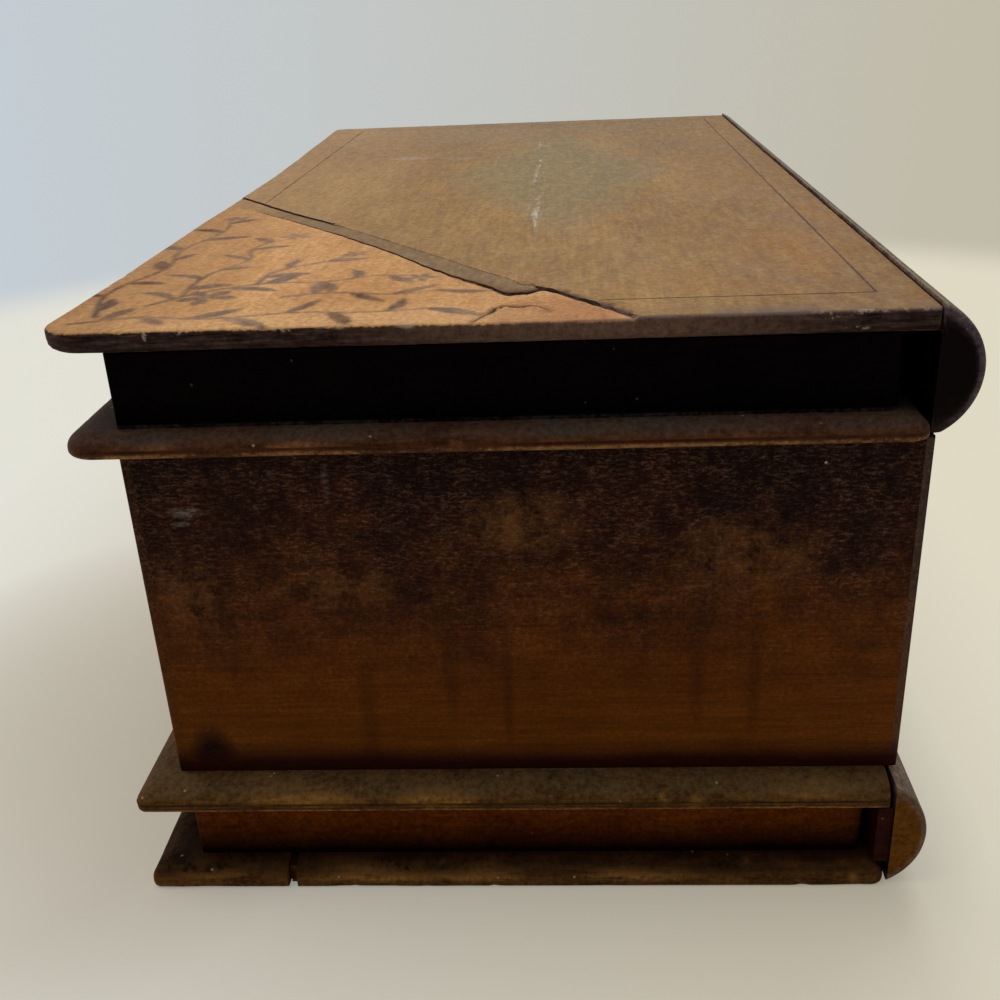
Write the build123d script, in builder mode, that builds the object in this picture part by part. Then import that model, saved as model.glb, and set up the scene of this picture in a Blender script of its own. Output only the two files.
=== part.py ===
"""Wooden vanity box made as a plain case standing between two closed books.

The lower book is the base. The upper book is the lid, with a framed mirror under it, and it turns
on two brass butt hinges at the back. X runs from the fore-edges of the books to their round
spines, Y along the spines, Z up. The origin is at the bottom centre of the whole box, in
millimetres.
"""
from build123d import *
import os
from math import sqrt

# Overall layout
spine_plane = 76.2              # X of the case's back face, where the spines begin
lid_length = 309.0              # top board, along the spine
lid_depth = 160.0               # top board, fore-edge to spine plane
half = lid_length / 2

# Levels, from the table up
bottom_top = 5.2                # top of the bottom board
base_pages_top = 18.5           # top of the base's page strips
floor_top = 24.1                # top of the base's upper board, the case's floor
rim = 94.3                      # top of the case, where the lid rests
lid_lower_top = 98.6            # top of the lid's lower board
lid_pages_top = 112.6           # top of the lid's page strips
lid_top = 117.0                 # top of the top board

# Boards: how far each end and fore-edge stands from the top board's
lid_lower_out = 4.0             # lower lid board beyond each end of the top board
lid_lower_depth = 156.0
floor_out = 8.0
floor_depth = 154.5
bottom_out = 9.0
bottom_depth = 154.0
lid_lower_back_gap = 0.8        # its back edge, where the spine is glued on
base_back_gap = 2.0             # the base boards' back edges, short of the spine plane
corner_radius = 3.8
thumb_round = 3.6               # big round over the base boards' edges
lid_thumb_round = 3.0
quirk_low = 20.3                # groove round the base's upper board, leaving a bead under it
quirk_width = 0.6
quirk_depth = 0.3
worn_corner_radius = 11.0       # the top board's near fore-edge corner, worn round

# Page strips
lid_pages_in = 1.0              # behind the top board's ends
lid_pages_depth = 146.2
base_pages_out = 4.0
base_pages_depth = 143.5
pages_back_gap = 6.3            # back strips, short of the spine plane
page_strip = 7.0                # thickness of a strip
page_corner = 2.0

# Case
case_out = 1.0                  # beyond each end of the top board
case_depth = 146.0
wall = 6.0
front_lip = 2.0                 # what the rabbets leave of the front board over the ends
back_lip = 1.6
lining = 0.5

# Spines: a half-round moulding cut flat where it meets the boards
spine_radius = 13.0
lid_spine_axis = (spine_plane - 5.4, 105.6)
lid_spine_flat = spine_plane - 0.8
lid_spine_foot = rim + 0.45
base_spine_axis = (spine_plane - 7.7, 12.5)
base_spine_flat = spine_plane - 1.5
spine_end_round = 1.6
backing_thickness = 3.0

# Bottom board's open joint between its two planks
plank_joint_x = spine_plane - 123.5
plank_gap = 1.8

# Sunk corner and cut border line on the top board
sunk_depth = 0.8
border_inset_front = 13.5
border_inset_back = 9.3
border_inset_end = 12.0
border_width = 0.8
border_depth = 0.4

# Mirror in the lid's lower board
window_x = (spine_plane - 124.0, spine_plane - 29.0)
window_end_margin = 34.0        # lower board's end to the window
glass_lap = 5.0
glass_thickness = 2.2
backing_lap = 6.0
backing_board = 2.0
sprig_radius = 0.6
sprig_head = 1.3

# Butt hinges
hinge_axis_x = spine_plane + 0.2
hinge_length = 24.0
hinge_inset = 52.0              # from the case's end to the hinge's middle
leaf_width = 5.0
leaf_thickness = 0.8
knuckle_radius = 1.4
knuckle_gap = 0.3
pin_radius = 0.6
pin_play = 0.05
knuckle_clearance = 0.35
knuckle_sides = 12
pin_sides = 10
screw_radius = 0.7
screw_head_radius = 1.3
screw_sides = 8
case_screw_length = 7.0
lid_screw_length = 3.2

hinge_places = {"near": -half - case_out + hinge_inset, "far": half + case_out - hinge_inset}


def board(x0, x1, out, z0, z1, top_round, bottom_round, round_back=False, front_corner=None):
    """A moulded board: plan corners rounded, then its shown edges rounded above and below."""
    y0, y1 = -half - out, half + out
    with BuildPart() as made:
        with BuildSketch(Plane.XY.offset(z0)):
            with BuildLine():
                Polyline((x0, y0), (x1, y0), (x1, y1), (x0, y1), close=True)
            make_face()
        extrude(amount=z1 - z0)
        uprights = made.edges().filter_by(Axis.Z).group_by(Axis.X)
        near_front = uprights[0].sort_by(Axis.Y)[0]
        far_front = uprights[0].sort_by(Axis.Y)[-1]
        fillet(far_front, corner_radius)
        fillet(near_front, front_corner or corner_radius)
        if round_back:
            fillet(made.edges().filter_by(Axis.Z).group_by(Axis.X)[-1], corner_radius)
        for level, radius in ((-1, top_round), (0, bottom_round)):
            rim_edges = made.faces().filter_by(Axis.Z).sort_by(Axis.Z)[level].edges()
            if not round_back:
                rim_edges = rim_edges.filter_by(lambda e: e.center().X < x1 - 0.01)
            fillet(rim_edges, radius)
    return made.part


def book_pages(prefix, x_front, out, z0, z1):
    """The four page strips of one book: ends between the long front and back strips."""
    x_back = spine_plane - pages_back_gap
    y0, y1 = -half - out, half + out
    strips = {}
    for name, sx0, sx1, sy0, sy1, corners in (
        ("front", x_front, x_front + page_strip, y0, y1, "front"),
        ("back", x_back - page_strip, x_back, y0, y1, "back"),
        ("near", x_front + page_strip, x_back - page_strip, y0, y0 + page_strip, None),
        ("far", x_front + page_strip, x_back - page_strip, y1 - page_strip, y1, None),
    ):
        with BuildPart() as strip:
            with BuildSketch(Plane.XY.offset(z0)):
                with BuildLine():
                    Polyline((sx0, sy0), (sx1, sy0), (sx1, sy1), (sx0, sy1), close=True)
                make_face()
            extrude(amount=z1 - z0)
            if corners:
                side = 0 if corners == "front" else -1
                radius = 0.8 if corners == "front" else page_corner
                fillet(strip.edges().filter_by(Axis.Z).group_by(Axis.X)[side], radius)
        strips[prefix + name] = strip.part
    return strips


def spine(axis, flat_x, y0, y1, foot):
    """A half-round spine: a circle's segment behind flat_x, cut level at foot."""
    cx, cz = axis
    reach = sqrt(spine_radius ** 2 - (flat_x - cx) ** 2)
    crown = (flat_x, cz + reach)
    bulge = (cx + spine_radius, cz)
    if foot is None:
        low = (flat_x, cz - reach)
        corner = None
    else:
        low = (cx + sqrt(spine_radius ** 2 - (cz - foot) ** 2), foot)
        corner = (flat_x, foot)
    with BuildPart() as made:
        with BuildSketch(Plane.XZ.offset(-y0)):
            with BuildLine():
                ThreePointArc(crown, bulge, low)
                if corner:
                    Polyline(low, corner, crown)
                else:
                    Line(low, crown)
            make_face()
        extrude(amount=-(y1 - y0))
        ends = made.faces().filter_by(Axis.Y)
        round_edges = ends.edges().filter_by(GeomType.CIRCLE)
        fillet(round_edges, spine_end_round)
    return made.part


def knuckle(y0, y1, z_sign):
    """A run of hinge barrel, with the stretch of leaf that carries it."""
    with BuildPart() as made:
        with BuildSketch(Plane.XZ.offset(-y0)):
            with Locations((hinge_axis_x, rim)):
                RegularPolygon(knuckle_radius, knuckle_sides)
        extrude(amount=-(y1 - y0))
        low = min(rim, rim + z_sign * leaf_thickness)
        with BuildSketch(Plane.XY.offset(low)):
            with BuildLine():
                Polyline(
                    (spine_plane - leaf_width, y0),
                    (hinge_axis_x, y0),
                    (hinge_axis_x, y1),
                    (spine_plane - leaf_width, y1),
                    close=True,
                )
            make_face()
        extrude(amount=leaf_thickness)
    return made.part


def barrel_space(centre, extra=knuckle_clearance):
    """The round clearance about a hinge's barrel, cut from the wood on both sides."""
    y0 = centre - hinge_length / 2 - 0.3
    with BuildPart() as made:
        with BuildSketch(Plane.XZ.offset(-y0)):
            with Locations((hinge_axis_x, rim)):
                Circle(knuckle_radius + extra)
        extrude(amount=-(hinge_length + 0.6))
    return made.part


def leaf_space(centre, z_sign):
    """The shallow mortise that a leaf is let into."""
    low = min(rim, rim + z_sign * leaf_thickness)
    y0 = centre - hinge_length / 2
    with BuildPart() as made:
        with BuildSketch(Plane.XY.offset(low)):
            with BuildLine():
                Polyline(
                    (spine_plane - leaf_width, y0),
                    (spine_plane + 3, y0),
                    (spine_plane + 3, y0 + hinge_length),
                    (spine_plane - leaf_width, y0 + hinge_length),
                    close=True,
                )
            make_face()
        extrude(amount=leaf_thickness)
    return made.part


def screw_places(centre):
    """Where a leaf's screws stand: two outer ones and one between."""
    x = spine_plane - 2.9
    return [(x, centre + step) for step in (-8.5, 0.0, 8.5)]


def countersunk(place, z_sign, length):
    """A small countersunk screw, head flush with the leaf's outer face, which is at the rim."""
    head_depth = screw_head_radius - screw_radius
    with BuildPart() as made:
        with BuildSketch(Plane.XY.offset(rim)):
            with Locations(place):
                RegularPolygon(screw_head_radius, screw_sides)
        with BuildSketch(Plane.XY.offset(rim + z_sign * head_depth)):
            with Locations(place):
                RegularPolygon(screw_radius, screw_sides)
        loft()
        with BuildSketch(Plane.XY.offset(rim + z_sign * head_depth)):
            with Locations(place):
                RegularPolygon(screw_radius, screw_sides)
        extrude(amount=z_sign * (length - head_depth))
    return made.part


os.makedirs("parts", exist_ok=True)


def save(part, name):
    """Labels a finished piece and writes it under its own name."""
    part.label = name
    export_step(part, f"parts/{name}.step")


# Base book: the bottom board is two planks with an open joint
front_edge = {
    "top": spine_plane - lid_depth,
    "lid_lower": spine_plane - lid_lower_depth,
    "floor": spine_plane - floor_depth,
    "bottom": spine_plane - bottom_depth,
}
bottom_whole = board(
    front_edge["bottom"],
    spine_plane - base_back_gap,
    bottom_out,
    0,
    bottom_top,
    thumb_round,
    0.8,
    round_back=True,
)
joint_front = Plane.YZ.offset(plank_joint_x - plank_gap / 2)
joint_rear = Plane.YZ.offset(plank_joint_x + plank_gap / 2)

with BuildPart() as bottom_front_plank:
    add(bottom_whole)
    split(bisect_by=joint_front, keep=Keep.BOTTOM)
save(bottom_front_plank.part, "bottom_front_plank")

with BuildPart() as bottom_rear_plank:
    add(bottom_whole)
    split(bisect_by=joint_rear, keep=Keep.TOP)
save(bottom_rear_plank.part, "bottom_rear_plank")

base_strips = book_pages(
    "base_page_",
    spine_plane - base_pages_depth,
    base_pages_out,
    bottom_top,
    base_pages_top,
)
for strip_name, strip_part in base_strips.items():
    save(strip_part, strip_name)

with BuildPart() as case_floor_board:
    add(
        board(
            front_edge["floor"],
            spine_plane - base_back_gap,
            floor_out,
            base_pages_top,
            floor_top,
            thumb_round,
            1.2,
        )
    )
    # The groove over the bead, round the fore-edge and both ends
    groove_x = (front_edge["floor"] + quirk_depth, spine_plane - base_back_gap)
    groove_y = half + floor_out - quirk_depth
    with BuildSketch(Plane.XY.offset(quirk_low)) as groove:
        with BuildLine():
            Polyline(
                (groove_x[1], groove_y),
                (groove_x[0], groove_y),
                (groove_x[0], -groove_y),
                (groove_x[1], -groove_y),
                (groove_x[1], -groove_y - 1),
                (groove_x[0] - 1, -groove_y - 1),
                (groove_x[0] - 1, groove_y + 1),
                (groove_x[1], groove_y + 1),
                close=True,
            )
        make_face()
        fillet(groove.vertices().group_by(Axis.X)[1], corner_radius - quirk_depth)
    extrude(amount=quirk_width, mode=Mode.SUBTRACT)
save(case_floor_board.part, "case_floor_board")

# Base spine, carried by a strip that stands between the two base boards
with BuildPart() as base_spine_backing:
    with BuildSketch(Plane.XY.offset(bottom_top)):
        with BuildLine():
            Polyline(
                (base_spine_flat - backing_thickness, -half - floor_out + 0.6),
                (base_spine_flat, -half - floor_out + 0.6),
                (base_spine_flat, half + floor_out - 0.6),
                (base_spine_flat - backing_thickness, half + floor_out - 0.6),
                close=True,
            )
        make_face()
    extrude(amount=base_pages_top - bottom_top)
save(base_spine_backing.part, "base_spine_backing")

with BuildPart() as base_spine:
    add(spine(base_spine_axis, base_spine_flat, -half - floor_out, half + floor_out, None))
save(base_spine.part, "base_spine")

# Case: front and back boards rabbeted at their ends to take the end boards
case_y0 = -half - case_out
case_y1 = half + case_out
case_front = spine_plane - case_depth
case_height = rim - floor_top


def long_wall(x_outer, direction, lip):
    """A long board whose ends are rabbeted on the inside, leaving a lip over the end boards."""
    x_inner = x_outer + direction * wall
    x_lip = x_outer + direction * lip
    with BuildPart() as made:
        with BuildSketch(Plane.XY.offset(floor_top)):
            with BuildLine():
                Polyline(
                    (x_outer, case_y0),
                    (x_lip, case_y0),
                    (x_lip, case_y0 + wall),
                    (x_inner, case_y0 + wall),
                    (x_inner, case_y1 - wall),
                    (x_lip, case_y1 - wall),
                    (x_lip, case_y1),
                    (x_outer, case_y1),
                    close=True,
                )
            make_face()
        extrude(amount=case_height)
        fillet(made.edges().filter_by(Axis.Z).group_by(Axis.X)[0 if direction > 0 else -1], 0.6)
    return made.part


with BuildPart() as case_front_board:
    add(long_wall(case_front, 1, front_lip))
save(case_front_board.part, "case_front_board")

with BuildPart() as case_back_board:
    add(long_wall(spine_plane, -1, back_lip))
    for centre in hinge_places.values():
        add(leaf_space(centre, -1), mode=Mode.SUBTRACT)
        add(barrel_space(centre), mode=Mode.SUBTRACT)
        for place in screw_places(centre):
            add(countersunk(place, -1, case_screw_length), mode=Mode.SUBTRACT)
save(case_back_board.part, "case_back_board")

for end_name, y_low in (("near", case_y0), ("far", case_y1 - wall)):
    with BuildPart() as case_end_board:
        with BuildSketch(Plane.XY.offset(floor_top)):
            with BuildLine():
                Polyline(
                    (case_front + front_lip, y_low),
                    (spine_plane - back_lip, y_low),
                    (spine_plane - back_lip, y_low + wall),
                    (case_front + front_lip, y_low + wall),
                    close=True,
                )
            make_face()
        extrude(amount=case_height)
    save(case_end_board.part, f"case_{end_name}_end_board")

# Paper lining, glued to the floor and round the walls
inside = ((case_front + wall, case_y0 + wall), (spine_plane - wall, case_y1 - wall))
inside_size = (inside[1][0] - inside[0][0], inside[1][1] - inside[0][1])
inside_centre = ((inside[0][0] + inside[1][0]) / 2, 0)

with BuildPart() as floor_lining:
    with BuildSketch(Plane.XY.offset(floor_top)):
        with Locations(inside_centre):
            Rectangle(*inside_size)
    extrude(amount=lining)
save(floor_lining.part, "floor_lining")

with BuildPart() as wall_lining:
    with BuildSketch(Plane.XY.offset(floor_top + lining)):
        with Locations(inside_centre):
            Rectangle(*inside_size)
            Rectangle(inside_size[0] - 2 * lining, inside_size[1] - 2 * lining, mode=Mode.SUBTRACT)
    extrude(amount=case_height - lining - 2.0)
save(wall_lining.part, "wall_lining")

# Lid's lower board: a window with a rabbet above it for the mirror
lower_y0 = -half - lid_lower_out
window_y = (lower_y0 + window_end_margin, -lower_y0 - window_end_margin)
window_size = (window_x[1] - window_x[0], window_y[1] - window_y[0])
window_centre = ((window_x[0] + window_x[1]) / 2, 0)
glass_size = (window_size[0] + 2 * glass_lap, window_size[1] + 2 * glass_lap)
rabbet_floor = lid_lower_top - glass_thickness
sprig_x = glass_size[0] / 2 + backing_lap / 2
sprig_places = [
    (window_centre[0] + side * sprig_x, share * glass_size[1])
    for side in (-1, 1)
    for share in (-0.38, 0.0, 0.38)
]
sprig_depth = 3.0


def sprig(place):
    """A small flat-headed brad through the mirror's backing into the board."""
    x, y = place
    top = lid_lower_top + backing_board
    with BuildPart() as made:
        with BuildSketch(Plane.XY.offset(top - backing_board - sprig_depth)):
            with Locations((x, y)):
                RegularPolygon(sprig_radius, screw_sides)
        extrude(amount=backing_board + sprig_depth)
        with BuildSketch(Plane.XY.offset(top)):
            with Locations((x, y)):
                RegularPolygon(sprig_head, screw_sides)
        extrude(amount=0.5)
    return made.part


with BuildPart() as lid_lower_board:
    add(
        board(
            front_edge["lid_lower"],
            spine_plane - lid_lower_back_gap,
            lid_lower_out,
            rim,
            lid_lower_top,
            lid_thumb_round,
            0.9,
            round_back=True,
        )
    )
    with BuildSketch(Plane.XY.offset(rim)):
        with Locations(window_centre):
            Rectangle(*window_size)
    extrude(amount=lid_lower_top - rim, mode=Mode.SUBTRACT)
    sill = lid_lower_board.faces().filter_by(Axis.Z).sort_by(Axis.Z)[0].inner_wires()[0].edges()
    chamfer(sill, 1.2)
    with BuildSketch(Plane.XY.offset(rabbet_floor)):
        with Locations(window_centre):
            Rectangle(*glass_size)
    extrude(amount=glass_thickness, mode=Mode.SUBTRACT)
    for centre in hinge_places.values():
        add(leaf_space(centre, 1), mode=Mode.SUBTRACT)
        add(barrel_space(centre), mode=Mode.SUBTRACT)
        for place in screw_places(centre):
            add(countersunk(place, 1, lid_screw_length), mode=Mode.SUBTRACT)
    for place in sprig_places:
        add(sprig(place), mode=Mode.SUBTRACT)
save(lid_lower_board.part, "lid_lower_board")

with BuildPart() as mirror_glass:
    with BuildSketch(Plane.XY.offset(rabbet_floor)):
        with Locations(window_centre):
            Rectangle(*glass_size)
    extrude(amount=glass_thickness)
save(mirror_glass.part, "mirror_glass")

with BuildPart() as mirror_backing:
    with BuildSketch(Plane.XY.offset(lid_lower_top)):
        with Locations(window_centre):
            Rectangle(glass_size[0] + 2 * backing_lap, glass_size[1] + 2 * backing_lap)
    extrude(amount=backing_board)
    for place in sprig_places:
        add(sprig(place), mode=Mode.SUBTRACT)
save(mirror_backing.part, "mirror_backing")

with BuildPart() as mirror_sprigs:
    for place in sprig_places:
        add(sprig(place))
save(mirror_sprigs.part, "mirror_sprigs")

# Lid's page strips
lid_strips = book_pages(
    "lid_page_",
    spine_plane - lid_pages_depth,
    -lid_pages_in,
    lid_lower_top,
    lid_pages_top,
)
for strip_name, strip_part in lid_strips.items():
    save(strip_part, strip_name)

# Top board: near fore-edge corner sunk along a split, and a cut border line round the rest
split_line = [
    (front_edge["top"] - 1, -half + 147.0),
    (spine_plane - 120.4, -half + 93.3),
    (spine_plane - 84.0, -half + 37.0),
    (spine_plane - 77.0, -half + 21.5),
    (spine_plane - 69.0, -half + 23.0),
    (spine_plane - 62.0, -half + 14.5),
    (spine_plane - 50.5, -half - 3.0),
]
run_in = (0.54, -0.84)          # the split's direction where its wavy stretch begins
run_out = (0.55, -0.84)

with BuildPart() as lid_top_board:
    add(
        board(
            front_edge["top"],
            lid_spine_flat,
            0,
            lid_pages_top,
            lid_top,
            0.9,
            2.0,
            front_corner=worn_corner_radius,
        )
    )
    with BuildSketch(Plane.XY.offset(lid_top - border_depth)):
        border_x = (front_edge["top"] + border_inset_front, spine_plane - border_inset_back)
        border_y = (-half + border_inset_end, half - border_inset_end)
        with Locations(((border_x[0] + border_x[1]) / 2, 0)):
            Rectangle(border_x[1] - border_x[0], border_y[1] - border_y[0])
            Rectangle(
                border_x[1] - border_x[0] - 2 * border_width,
                border_y[1] - border_y[0] - 2 * border_width,
                mode=Mode.SUBTRACT,
            )
    extrude(amount=border_depth + 1, mode=Mode.SUBTRACT)
    with BuildSketch(Plane.XY.offset(lid_top - sunk_depth)):
        with BuildLine():
            Polyline(*split_line[:3])
            Spline(*split_line[2:], tangents=(run_in, run_out))
            Polyline(split_line[-1], (front_edge["top"] - 1, split_line[-1][1]), split_line[0])
        make_face()
    extrude(amount=sunk_depth + 1, mode=Mode.SUBTRACT)
save(lid_top_board.part, "lid_top_board")

# Lid spine, notched over the hinge barrels
with BuildPart() as lid_spine:
    add(spine(lid_spine_axis, lid_spine_flat, -half, half, lid_spine_foot))
    for centre in hinge_places.values():
        add(barrel_space(centre), mode=Mode.SUBTRACT)
        add(leaf_space(centre, 1), mode=Mode.SUBTRACT)
save(lid_spine.part, "lid_spine")

# Hinges: outer knuckles on the case leaf, the middle one on the lid leaf, a loose pin through
outer_run = (hinge_length - hinge_length * 0.4) / 2
middle_run = hinge_length - 2 * outer_run


def pin_bore(centre, radius):
    """The hole for the pin through a hinge's whole barrel."""
    y0 = centre - hinge_length / 2 - 1
    with BuildPart() as made:
        with BuildSketch(Plane.XZ.offset(-y0)):
            with Locations((hinge_axis_x, rim)):
                RegularPolygon(radius, pin_sides)
        extrude(amount=-(hinge_length + 2))
    return made.part


def leaf_plate(centre, z_sign):
    """A leaf's flat plate, up to the barrel's clearance."""
    low = min(rim, rim + z_sign * leaf_thickness)
    y0 = centre - hinge_length / 2
    x1 = hinge_axis_x - knuckle_radius - knuckle_gap
    with BuildPart() as made:
        with BuildSketch(Plane.XY.offset(low)):
            with BuildLine():
                Polyline(
                    (spine_plane - leaf_width, y0),
                    (x1, y0),
                    (x1, y0 + hinge_length),
                    (spine_plane - leaf_width, y0 + hinge_length),
                    close=True,
                )
            make_face()
        extrude(amount=leaf_thickness)
    return made.part


for side, centre in hinge_places.items():
    y0 = centre - hinge_length / 2
    y1 = centre + hinge_length / 2
    with BuildPart() as case_leaf:
        add(leaf_plate(centre, -1))
        add(knuckle(y0, y0 + outer_run - knuckle_gap / 2, -1))
        add(knuckle(y1 - outer_run + knuckle_gap / 2, y1, -1))
        add(pin_bore(centre, pin_radius), mode=Mode.SUBTRACT)
        for place in screw_places(centre):
            add(countersunk(place, -1, case_screw_length), mode=Mode.SUBTRACT)
    save(case_leaf.part, f"{side}_hinge_case_leaf")

    with BuildPart() as lid_leaf:
        add(leaf_plate(centre, 1))
        add(knuckle(y0 + outer_run + knuckle_gap / 2, y1 - outer_run - knuckle_gap / 2, 1))
        add(pin_bore(centre, pin_radius + pin_play), mode=Mode.SUBTRACT)
        for place in screw_places(centre):
            add(countersunk(place, 1, lid_screw_length), mode=Mode.SUBTRACT)
    save(lid_leaf.part, f"{side}_hinge_lid_leaf")

    with BuildPart() as hinge_pin:
        with BuildSketch(Plane.XZ.offset(-y0)):
            with Locations((hinge_axis_x, rim)):
                RegularPolygon(pin_radius, pin_sides)
        extrude(amount=-hinge_length)
    save(hinge_pin.part, f"{side}_hinge_pin")

with BuildPart() as case_hinge_screws:
    for centre in hinge_places.values():
        for place in screw_places(centre):
            add(countersunk(place, -1, case_screw_length))
save(case_hinge_screws.part, "case_hinge_screws")

with BuildPart() as lid_hinge_screws:
    for centre in hinge_places.values():
        for place in screw_places(centre):
            add(countersunk(place, 1, lid_screw_length))
save(lid_hinge_screws.part, "lid_hinge_screws")
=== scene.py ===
"""Looks of a book-form vanity box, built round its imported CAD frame.

A plain stained case stands between two wooden "books". Every piece is in metres, in the CAD's own
frame: X from the fore-edges to the spines, Y along the spines, Z up.
"""

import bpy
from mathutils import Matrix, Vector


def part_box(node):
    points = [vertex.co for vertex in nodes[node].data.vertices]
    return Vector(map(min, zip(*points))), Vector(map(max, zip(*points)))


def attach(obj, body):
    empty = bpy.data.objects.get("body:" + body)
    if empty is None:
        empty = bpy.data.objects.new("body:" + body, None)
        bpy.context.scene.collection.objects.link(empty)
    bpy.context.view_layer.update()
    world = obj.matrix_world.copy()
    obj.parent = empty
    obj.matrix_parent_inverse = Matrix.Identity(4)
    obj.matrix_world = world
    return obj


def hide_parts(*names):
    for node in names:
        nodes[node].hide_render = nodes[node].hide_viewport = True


bl_info = {
    "name": "Book Vanity Box",
    "version": (1, 0, 0),
    "blender": (4, 5, 0),
    "location": "3D View > Sidebar > Vanity Box",
    "description": "Worn stained boards, spines, hinges, mirror and lining for the packed vanity box",
    "category": "Object",
}

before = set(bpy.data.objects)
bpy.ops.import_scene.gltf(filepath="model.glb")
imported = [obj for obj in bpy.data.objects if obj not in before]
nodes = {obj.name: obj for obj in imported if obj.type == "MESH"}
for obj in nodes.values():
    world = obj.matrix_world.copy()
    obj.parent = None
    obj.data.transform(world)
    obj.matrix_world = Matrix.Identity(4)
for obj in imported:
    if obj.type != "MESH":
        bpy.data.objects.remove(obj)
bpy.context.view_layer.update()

import math
import random
from functools import partial

import bpy
import numpy as np
from mathutils import Vector, geometry

MM = 0.001
MIX_A, MIX_B, MIXED = 6, 7, 2           # a Mix node's two colours, and its colour output


# Places that repeat the CAD's, in millimetres: near end faces, whose far ones stand as far beyond
# zero, the case's rim, under the lid's lower board, and the middle of each hinge
FOOT_END, BASE_END, CASE_END, LEDGE_END, LID_END = -163.5, -162.5, -155.5, -158.5, -154.5
RIM = 94.3
HINGE_CENTRES = (-103.5, 103.5)
# the room's pale wall, to the left and to the right
WALL_LEFT, WALL_RIGHT = "#c5d0da", "#c1bba9"


def linear(text):
    """An sRGB hex colour as the linear red, green, blue and alpha that nodes use."""
    parts = [int(text[i : i + 2], 16) / 255 for i in (1, 3, 5)]
    return tuple(c / 12.92 if c <= 0.04045 else ((c + 0.055) / 1.055) ** 2.4 for c in parts) + (1.0,)


def put(tree, kind, *values, at=None, stops=None, **named):
    """Adds a node. Values go to its inputs in order, at gives inputs by number, and a named one goes to
    the input of that name, or to a setting if its name starts small. A value is a number, a hex
    colour, a socket or a node. Stops are a colour ramp's places and colours."""
    own_name = kind.startswith(("Geometry", "Function", "NodeGroup"))
    made = tree.nodes.new(kind if own_name else "ShaderNode" + kind)
    inputs = {**dict(enumerate(values)), **(at or {})}
    for name, value in named.items():
        if name[0].isupper():
            inputs[name.replace("_", " ")] = value
        else:
            setattr(made, name, value)
    for key, value in inputs.items():
        if isinstance(value, bpy.types.Node):
            value = value.outputs[MIXED if value.bl_idname == "ShaderNodeMix" else 0]
        if isinstance(value, bpy.types.NodeSocket):
            tree.links.new(value, made.inputs[key])
        else:
            is_colour = isinstance(value, str) and value.startswith("#")
            made.inputs[key].default_value = linear(value) if is_colour else value
    if stops:
        ramp = made.color_ramp
        while len(ramp.elements) < len(stops):
            ramp.elements.new(1.0)
        for element, (position, colour) in zip(ramp.elements, stops):
            element.position = position
            element.color = linear(colour)
    return made


# Settings


class StageSettings(bpy.types.PropertyGroup):
    """Camera, lamps and floor."""

    camera_place: bpy.props.FloatVectorProperty(
        name="Camera Place", description="Where the camera stands", size=3,
        default=(0.01308, -0.34876, 0.16898), subtype="TRANSLATION", unit="LENGTH")
    camera_turn: bpy.props.FloatVectorProperty(
        name="Camera Turn", description="The camera's turn about X, Y and Z", size=3,
        default=[math.radians(a) for a in (64.915, 2.266, 2.280)], subtype="EULER", unit="ROTATION")
    focal_length: bpy.props.FloatProperty(
        name="Focal Length", description="The lens, for a 36 mm sensor", default=41.83, unit="CAMERA")
    camera_shift: bpy.props.FloatVectorProperty(
        name="Camera Shift", description="The frame's shift, in frame widths", size=2,
        default=(-0.0151, 0.0269))
    floor_colour: bpy.props.FloatVectorProperty(
        name="Floor Colour", description="The pale table top", size=4, min=0, max=1,
        default=linear("#dcd6c8"), subtype="COLOR")
    sky_strength: bpy.props.FloatProperty(
        name="Sky Strength", description="Even light from all round", default=0.62, min=0)
    lamp_power: bpy.props.FloatProperty(
        name="Lamp Power", description="The large soft lamp above and behind the box", default=9.0,
        min=0, unit="POWER")


class WearSettings(bpy.types.PropertyGroup):
    """How much the boards' edges have lost."""

    dent_depth: bpy.props.FloatProperty(
        name="Dent Depth", description="How deep an arris is worn in its soft dents",
        default=0.17 * MM, min=0, subtype="DISTANCE", unit="LENGTH")
    dent_size: bpy.props.FloatProperty(
        name="Dent Size", description="Distance between dents along an arris",
        default=14 * MM, min=MM, subtype="DISTANCE", unit="LENGTH")
    chip_depth: bpy.props.FloatProperty(
        name="Chip Depth", description="How deep the small chips go",
        default=0.2 * MM, min=0, subtype="DISTANCE", unit="LENGTH")
    chip_size: bpy.props.FloatProperty(
        name="Chip Size", description="Distance between chips",
        default=4.5 * MM, min=MM, subtype="DISTANCE", unit="LENGTH")
    ripple_depth: bpy.props.FloatProperty(
        name="Ripple Depth", description="How uneven a planed face is",
        default=0.07 * MM, min=0, subtype="DISTANCE", unit="LENGTH")
    seed: bpy.props.IntProperty(name="Seed", description="Picks where the wear falls", default=7)


class SpraySettings(bpy.types.PropertyGroup):
    """The painted sprays on the sunk corner of the top board."""

    stem_width: bpy.props.FloatProperty(
        name="Stem Width", description="Width of a painted stem", default=1.1 * MM,
        min=0.1 * MM, subtype="DISTANCE", unit="LENGTH")
    leaf_length: bpy.props.FloatProperty(
        name="Leaf Length", description="Length of a painted leaf", default=11.0 * MM,
        min=MM, subtype="DISTANCE", unit="LENGTH")
    paint_colour: bpy.props.FloatVectorProperty(
        name="Paint Colour", description="Thin brown-grey paint", size=4, min=0, max=1,
        default=linear("#5a3f2e"), subtype="COLOR")


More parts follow.
